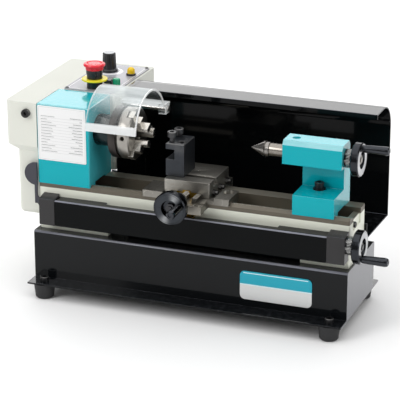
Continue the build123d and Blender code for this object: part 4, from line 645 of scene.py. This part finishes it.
def guardEndMesh(name, look):
    # The splash guard's end section carried on by a length: the section's triangles close both ends, and
    # each rim edge, one that no other triangle runs back along, becomes a wall between them.
    source = nodes["splash_guard"].data
    points, corners = np.empty(len(source.vertices) * 3), np.empty(len(source.loops), dtype=int)
    source.vertices.foreach_get("co", points)
    source.loops.foreach_get("vertex_index", corners)
    triangles = points.reshape(-1, 3)[corners.reshape(-1, 3)]
    ends = np.all(np.abs(triangles[:, :, 0] - triangles[:, :, 0].min()) < look["flat"], axis=1)
    section, cap = np.unique(triangles[ends].reshape(-1, 3).round(look["digits"]), axis=0, return_inverse=True)
    cap, size = cap.reshape(-1, 3), len(section)
    edges = np.concatenate([cap[:, (0, 1)], cap[:, (1, 2)], cap[:, (2, 0)]])
    rim = edges[~np.isin(edges @ (size, 1), edges @ (1, size))]
    walls = np.concatenate([rim[:, ::-1] + size, rim], axis=1)
    mesh = bpy.data.meshes.new(name)
    mesh.from_pydata(
        np.concatenate([section, section - (look["length"], 0.0, 0.0)]).tolist(), [],
        (cap + size).tolist() + cap[:, ::-1].tolist() + walls.tolist())
    return mesh


def guardCheekMesh(name, look):
    # An upright sheet: a path that runs right behind the headstock and then back beside the control box,
    # raised from the tray up to a top that steps up behind the hinge rod and then follows the guard's
    # round corner: its height is the corner's centre plus the root of radius squared less run squared.
    along, rise = np.meshgrid(
        np.linspace(0.0, 1.0, look["columns"]), np.linspace(0.0, 1.0, look["rows"]), indexing="ij")
    strip, depth = look["x"] - look["left"], look["back"] - look["front"]
    run = along * (strip + depth)
    x = look["left"] + np.minimum(run, strip)
    y = look["front"] + np.maximum(run - strip, 0.0)
    behind = np.clip((run - strip) / look["fold"], 0.0, 1.0)
    blend = np.clip((y - look["step"]) / look["slope"], 0.0, 1.0)
    top = look["low"] + (look["high"] - look["low"]) * blend * blend * (3.0 - 2.0 * blend)
    beyond = np.clip(y - look["roundY"], 0.0, look["round"])
    curve = look["roundZ"] + np.sqrt(look["round"] ** 2 - beyond ** 2) - look["room"]
    top = np.minimum(top, curve)
    top = look["shelf"] + (top - look["shelf"]) * behind
    z = look["bottom"] + (top - look["bottom"]) * rise
    return gridMesh(name, np.stack([x, y, z], axis=2))


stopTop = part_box("emergency_button")[1][2] / mm
mushroomLook = {
    "centre": middle("emergency_button"), "rows": 70, "columns": 126, "count": 9, "depth": 0.0009, "skirt": 15,
    "merge": 1e-7, "sharp": 0.6,
    "low": (stopTop - 6.2) * mm, "high": (stopTop - 3.6) * mm,
    "profile": [
        (0.0, stopTop - 0.25), (6.2, stopTop - 0.25), (6.6, stopTop - 0.75), (7.4, stopTop - 0.75),
        (7.8, stopTop - 0.1), (9.4, stopTop), (10.3, stopTop - 0.5), (10.7, stopTop - 1.3),
        (10.7, stopTop - 2.1), (10.3, stopTop - 2.8), (9.5, stopTop - 3.2), (9.0, stopTop - 3.6),
        (8.7, stopTop - 6.0), (8.5, stopTop - 6.3), (8.25, stopTop - 6.4), (8.2, stopTop - 10.4),
        (7.95, stopTop - 10.4), (7.95, stopTop - 4.7), (2.4, stopTop - 4.7), (2.4, stopTop - 27.0),
        (0.0, stopTop - 27.0)]}
mushroomRed = mushroomFinish("mushroomRed", {"meet": (stopTop - 6.35) * mm})
mushroom = newPiece(
    "mushroom_button", mushroomMesh("mushroom_button", mushroomLook), "stop_button", mushroomRed)
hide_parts("emergency_button")
endLook = {"length": 0.0056, "flat": 1e-5, "digits": 6}
newPiece("splash_guard_end", guardEndMesh("splash_guard_end", endLook), "base", guardPaint)
cheekLook = {"left": -0.1024, "x": -0.0962, "front": 0.0182, "back": 0.0886, "step": 0.0478, "bottom": 0.0739,
             "shelf": 0.1122, "low": 0.1635, "high": 0.1885, "roundY": 0.066, "roundZ": 0.1655, "round": 0.025,
             "room": 0.0018, "fold": 0.0005, "slope": 0.003, "columns": 97, "rows": 9, "thick": 0.0008}
cheek = newPiece(
    "splash_guard_cheek", guardCheekMesh("splash_guard_cheek", cheekLook), "base", guardPaint)
sheet = cheek.modifiers.new("sheet", "SOLIDIFY")
sheet.thickness = cheekLook["thick"]
sheet.offset = 0.0
print("stage: mushroom button and guard end")

stageSizes = {"floor": 9.0, "drop": 0.0004, "colour": (0.96, 0.96, 0.96, 1.0), "gloss": 0.8}
floorMesh = bpy.data.meshes.new("floor")
half, level = stageSizes["floor"] / 2, -stageSizes["drop"]
floorMesh.from_pydata(
    [(-half, -half, level), (half, -half, level), (half, half, level), (-half, half, level)], [], [(0, 1, 2, 3)])
floor = bpy.data.objects.new("floor", floorMesh)
bpy.context.scene.collection.objects.link(floor)
paper = Finish("paleFloor")
floorMesh.materials.append(paper.surface(Base_Color=stageSizes["colour"], Roughness=stageSizes["gloss"]))

lights = {
    "topLight": {"place": (0.0, 0.2, 2.2), "target": (0.0, 0.0, 0.0), "size": (4.0, 4.0), "power": 70.0},
    "keyLight": {"place": (-1.2, -1.6, 1.3), "target": (0.0, 0.0, 0.1), "size": (1.0, 1.0), "power": 19.0},
    "backLight": {"place": (-0.8, 2.4, 1.0), "target": (0.0, 0.0, 0.15), "size": (3.2, 1.2), "power": 27.0},
    "fillLight": {"place": (2.2, -0.7, 0.9), "target": (0.0, 0.0, 0.1), "size": (1.2, 1.2), "power": 11.0},
}
roomLight = {"colour": (1.0, 1.0, 1.0, 1.0), "level": 0.19}
world = bpy.data.worlds.new("studio")
bpy.context.scene.world = world
world.use_nodes = True
background = world.node_tree.nodes["Background"]
background.inputs["Color"].default_value = roomLight["colour"]
background.inputs["Strength"].default_value = roomLight["level"]


def softLight(name, look):
    # A soft box: a rectangle of light that faces its target.
    lamp = bpy.data.lights.new(name, "AREA")
    lamp.shape = "RECTANGLE"
    lamp.size, lamp.size_y = look["size"]
    lamp.energy = look["power"]
    holder = bpy.data.objects.new(name, lamp)
    holder.location = look["place"]
    towards = Vector(look["target"]) - Vector(look["place"])
    holder.rotation_euler = towards.to_track_quat("-Z", "Y").to_euler()
    bpy.context.scene.collection.objects.link(holder)


for name, look in lights.items():
    softLight(name, look)

view = {"azimuth": 20.8, "elevation": 20.1, "roll": -0.1, "distance": 1.9077, "lens": 177.63,
        "sensor": 36.0, "target": (-0.0073, 0.0113, 0.0951)}
camera = bpy.data.cameras.new("camera")
camera.lens = view["lens"]
camera.sensor_width = view["sensor"]
cameraObject = bpy.data.objects.new("camera", camera)
bpy.context.scene.collection.objects.link(cameraObject)
turn, rise = math.radians(view["azimuth"]), math.radians(view["elevation"])
away = Vector((math.sin(turn) * math.cos(rise), -math.cos(turn) * math.cos(rise), math.sin(rise)))
cameraObject.location = Vector(view["target"]) + view["distance"] * away
cameraObject.rotation_euler = (-away).to_track_quat("-Z", "Y").to_euler()
cameraObject.rotation_euler.rotate_axis("Z", math.radians(view["roll"]))
bpy.context.scene.camera = cameraObject
bpy.context.scene.view_settings.view_transform = "Standard"
print("stage: floor, light and camera")
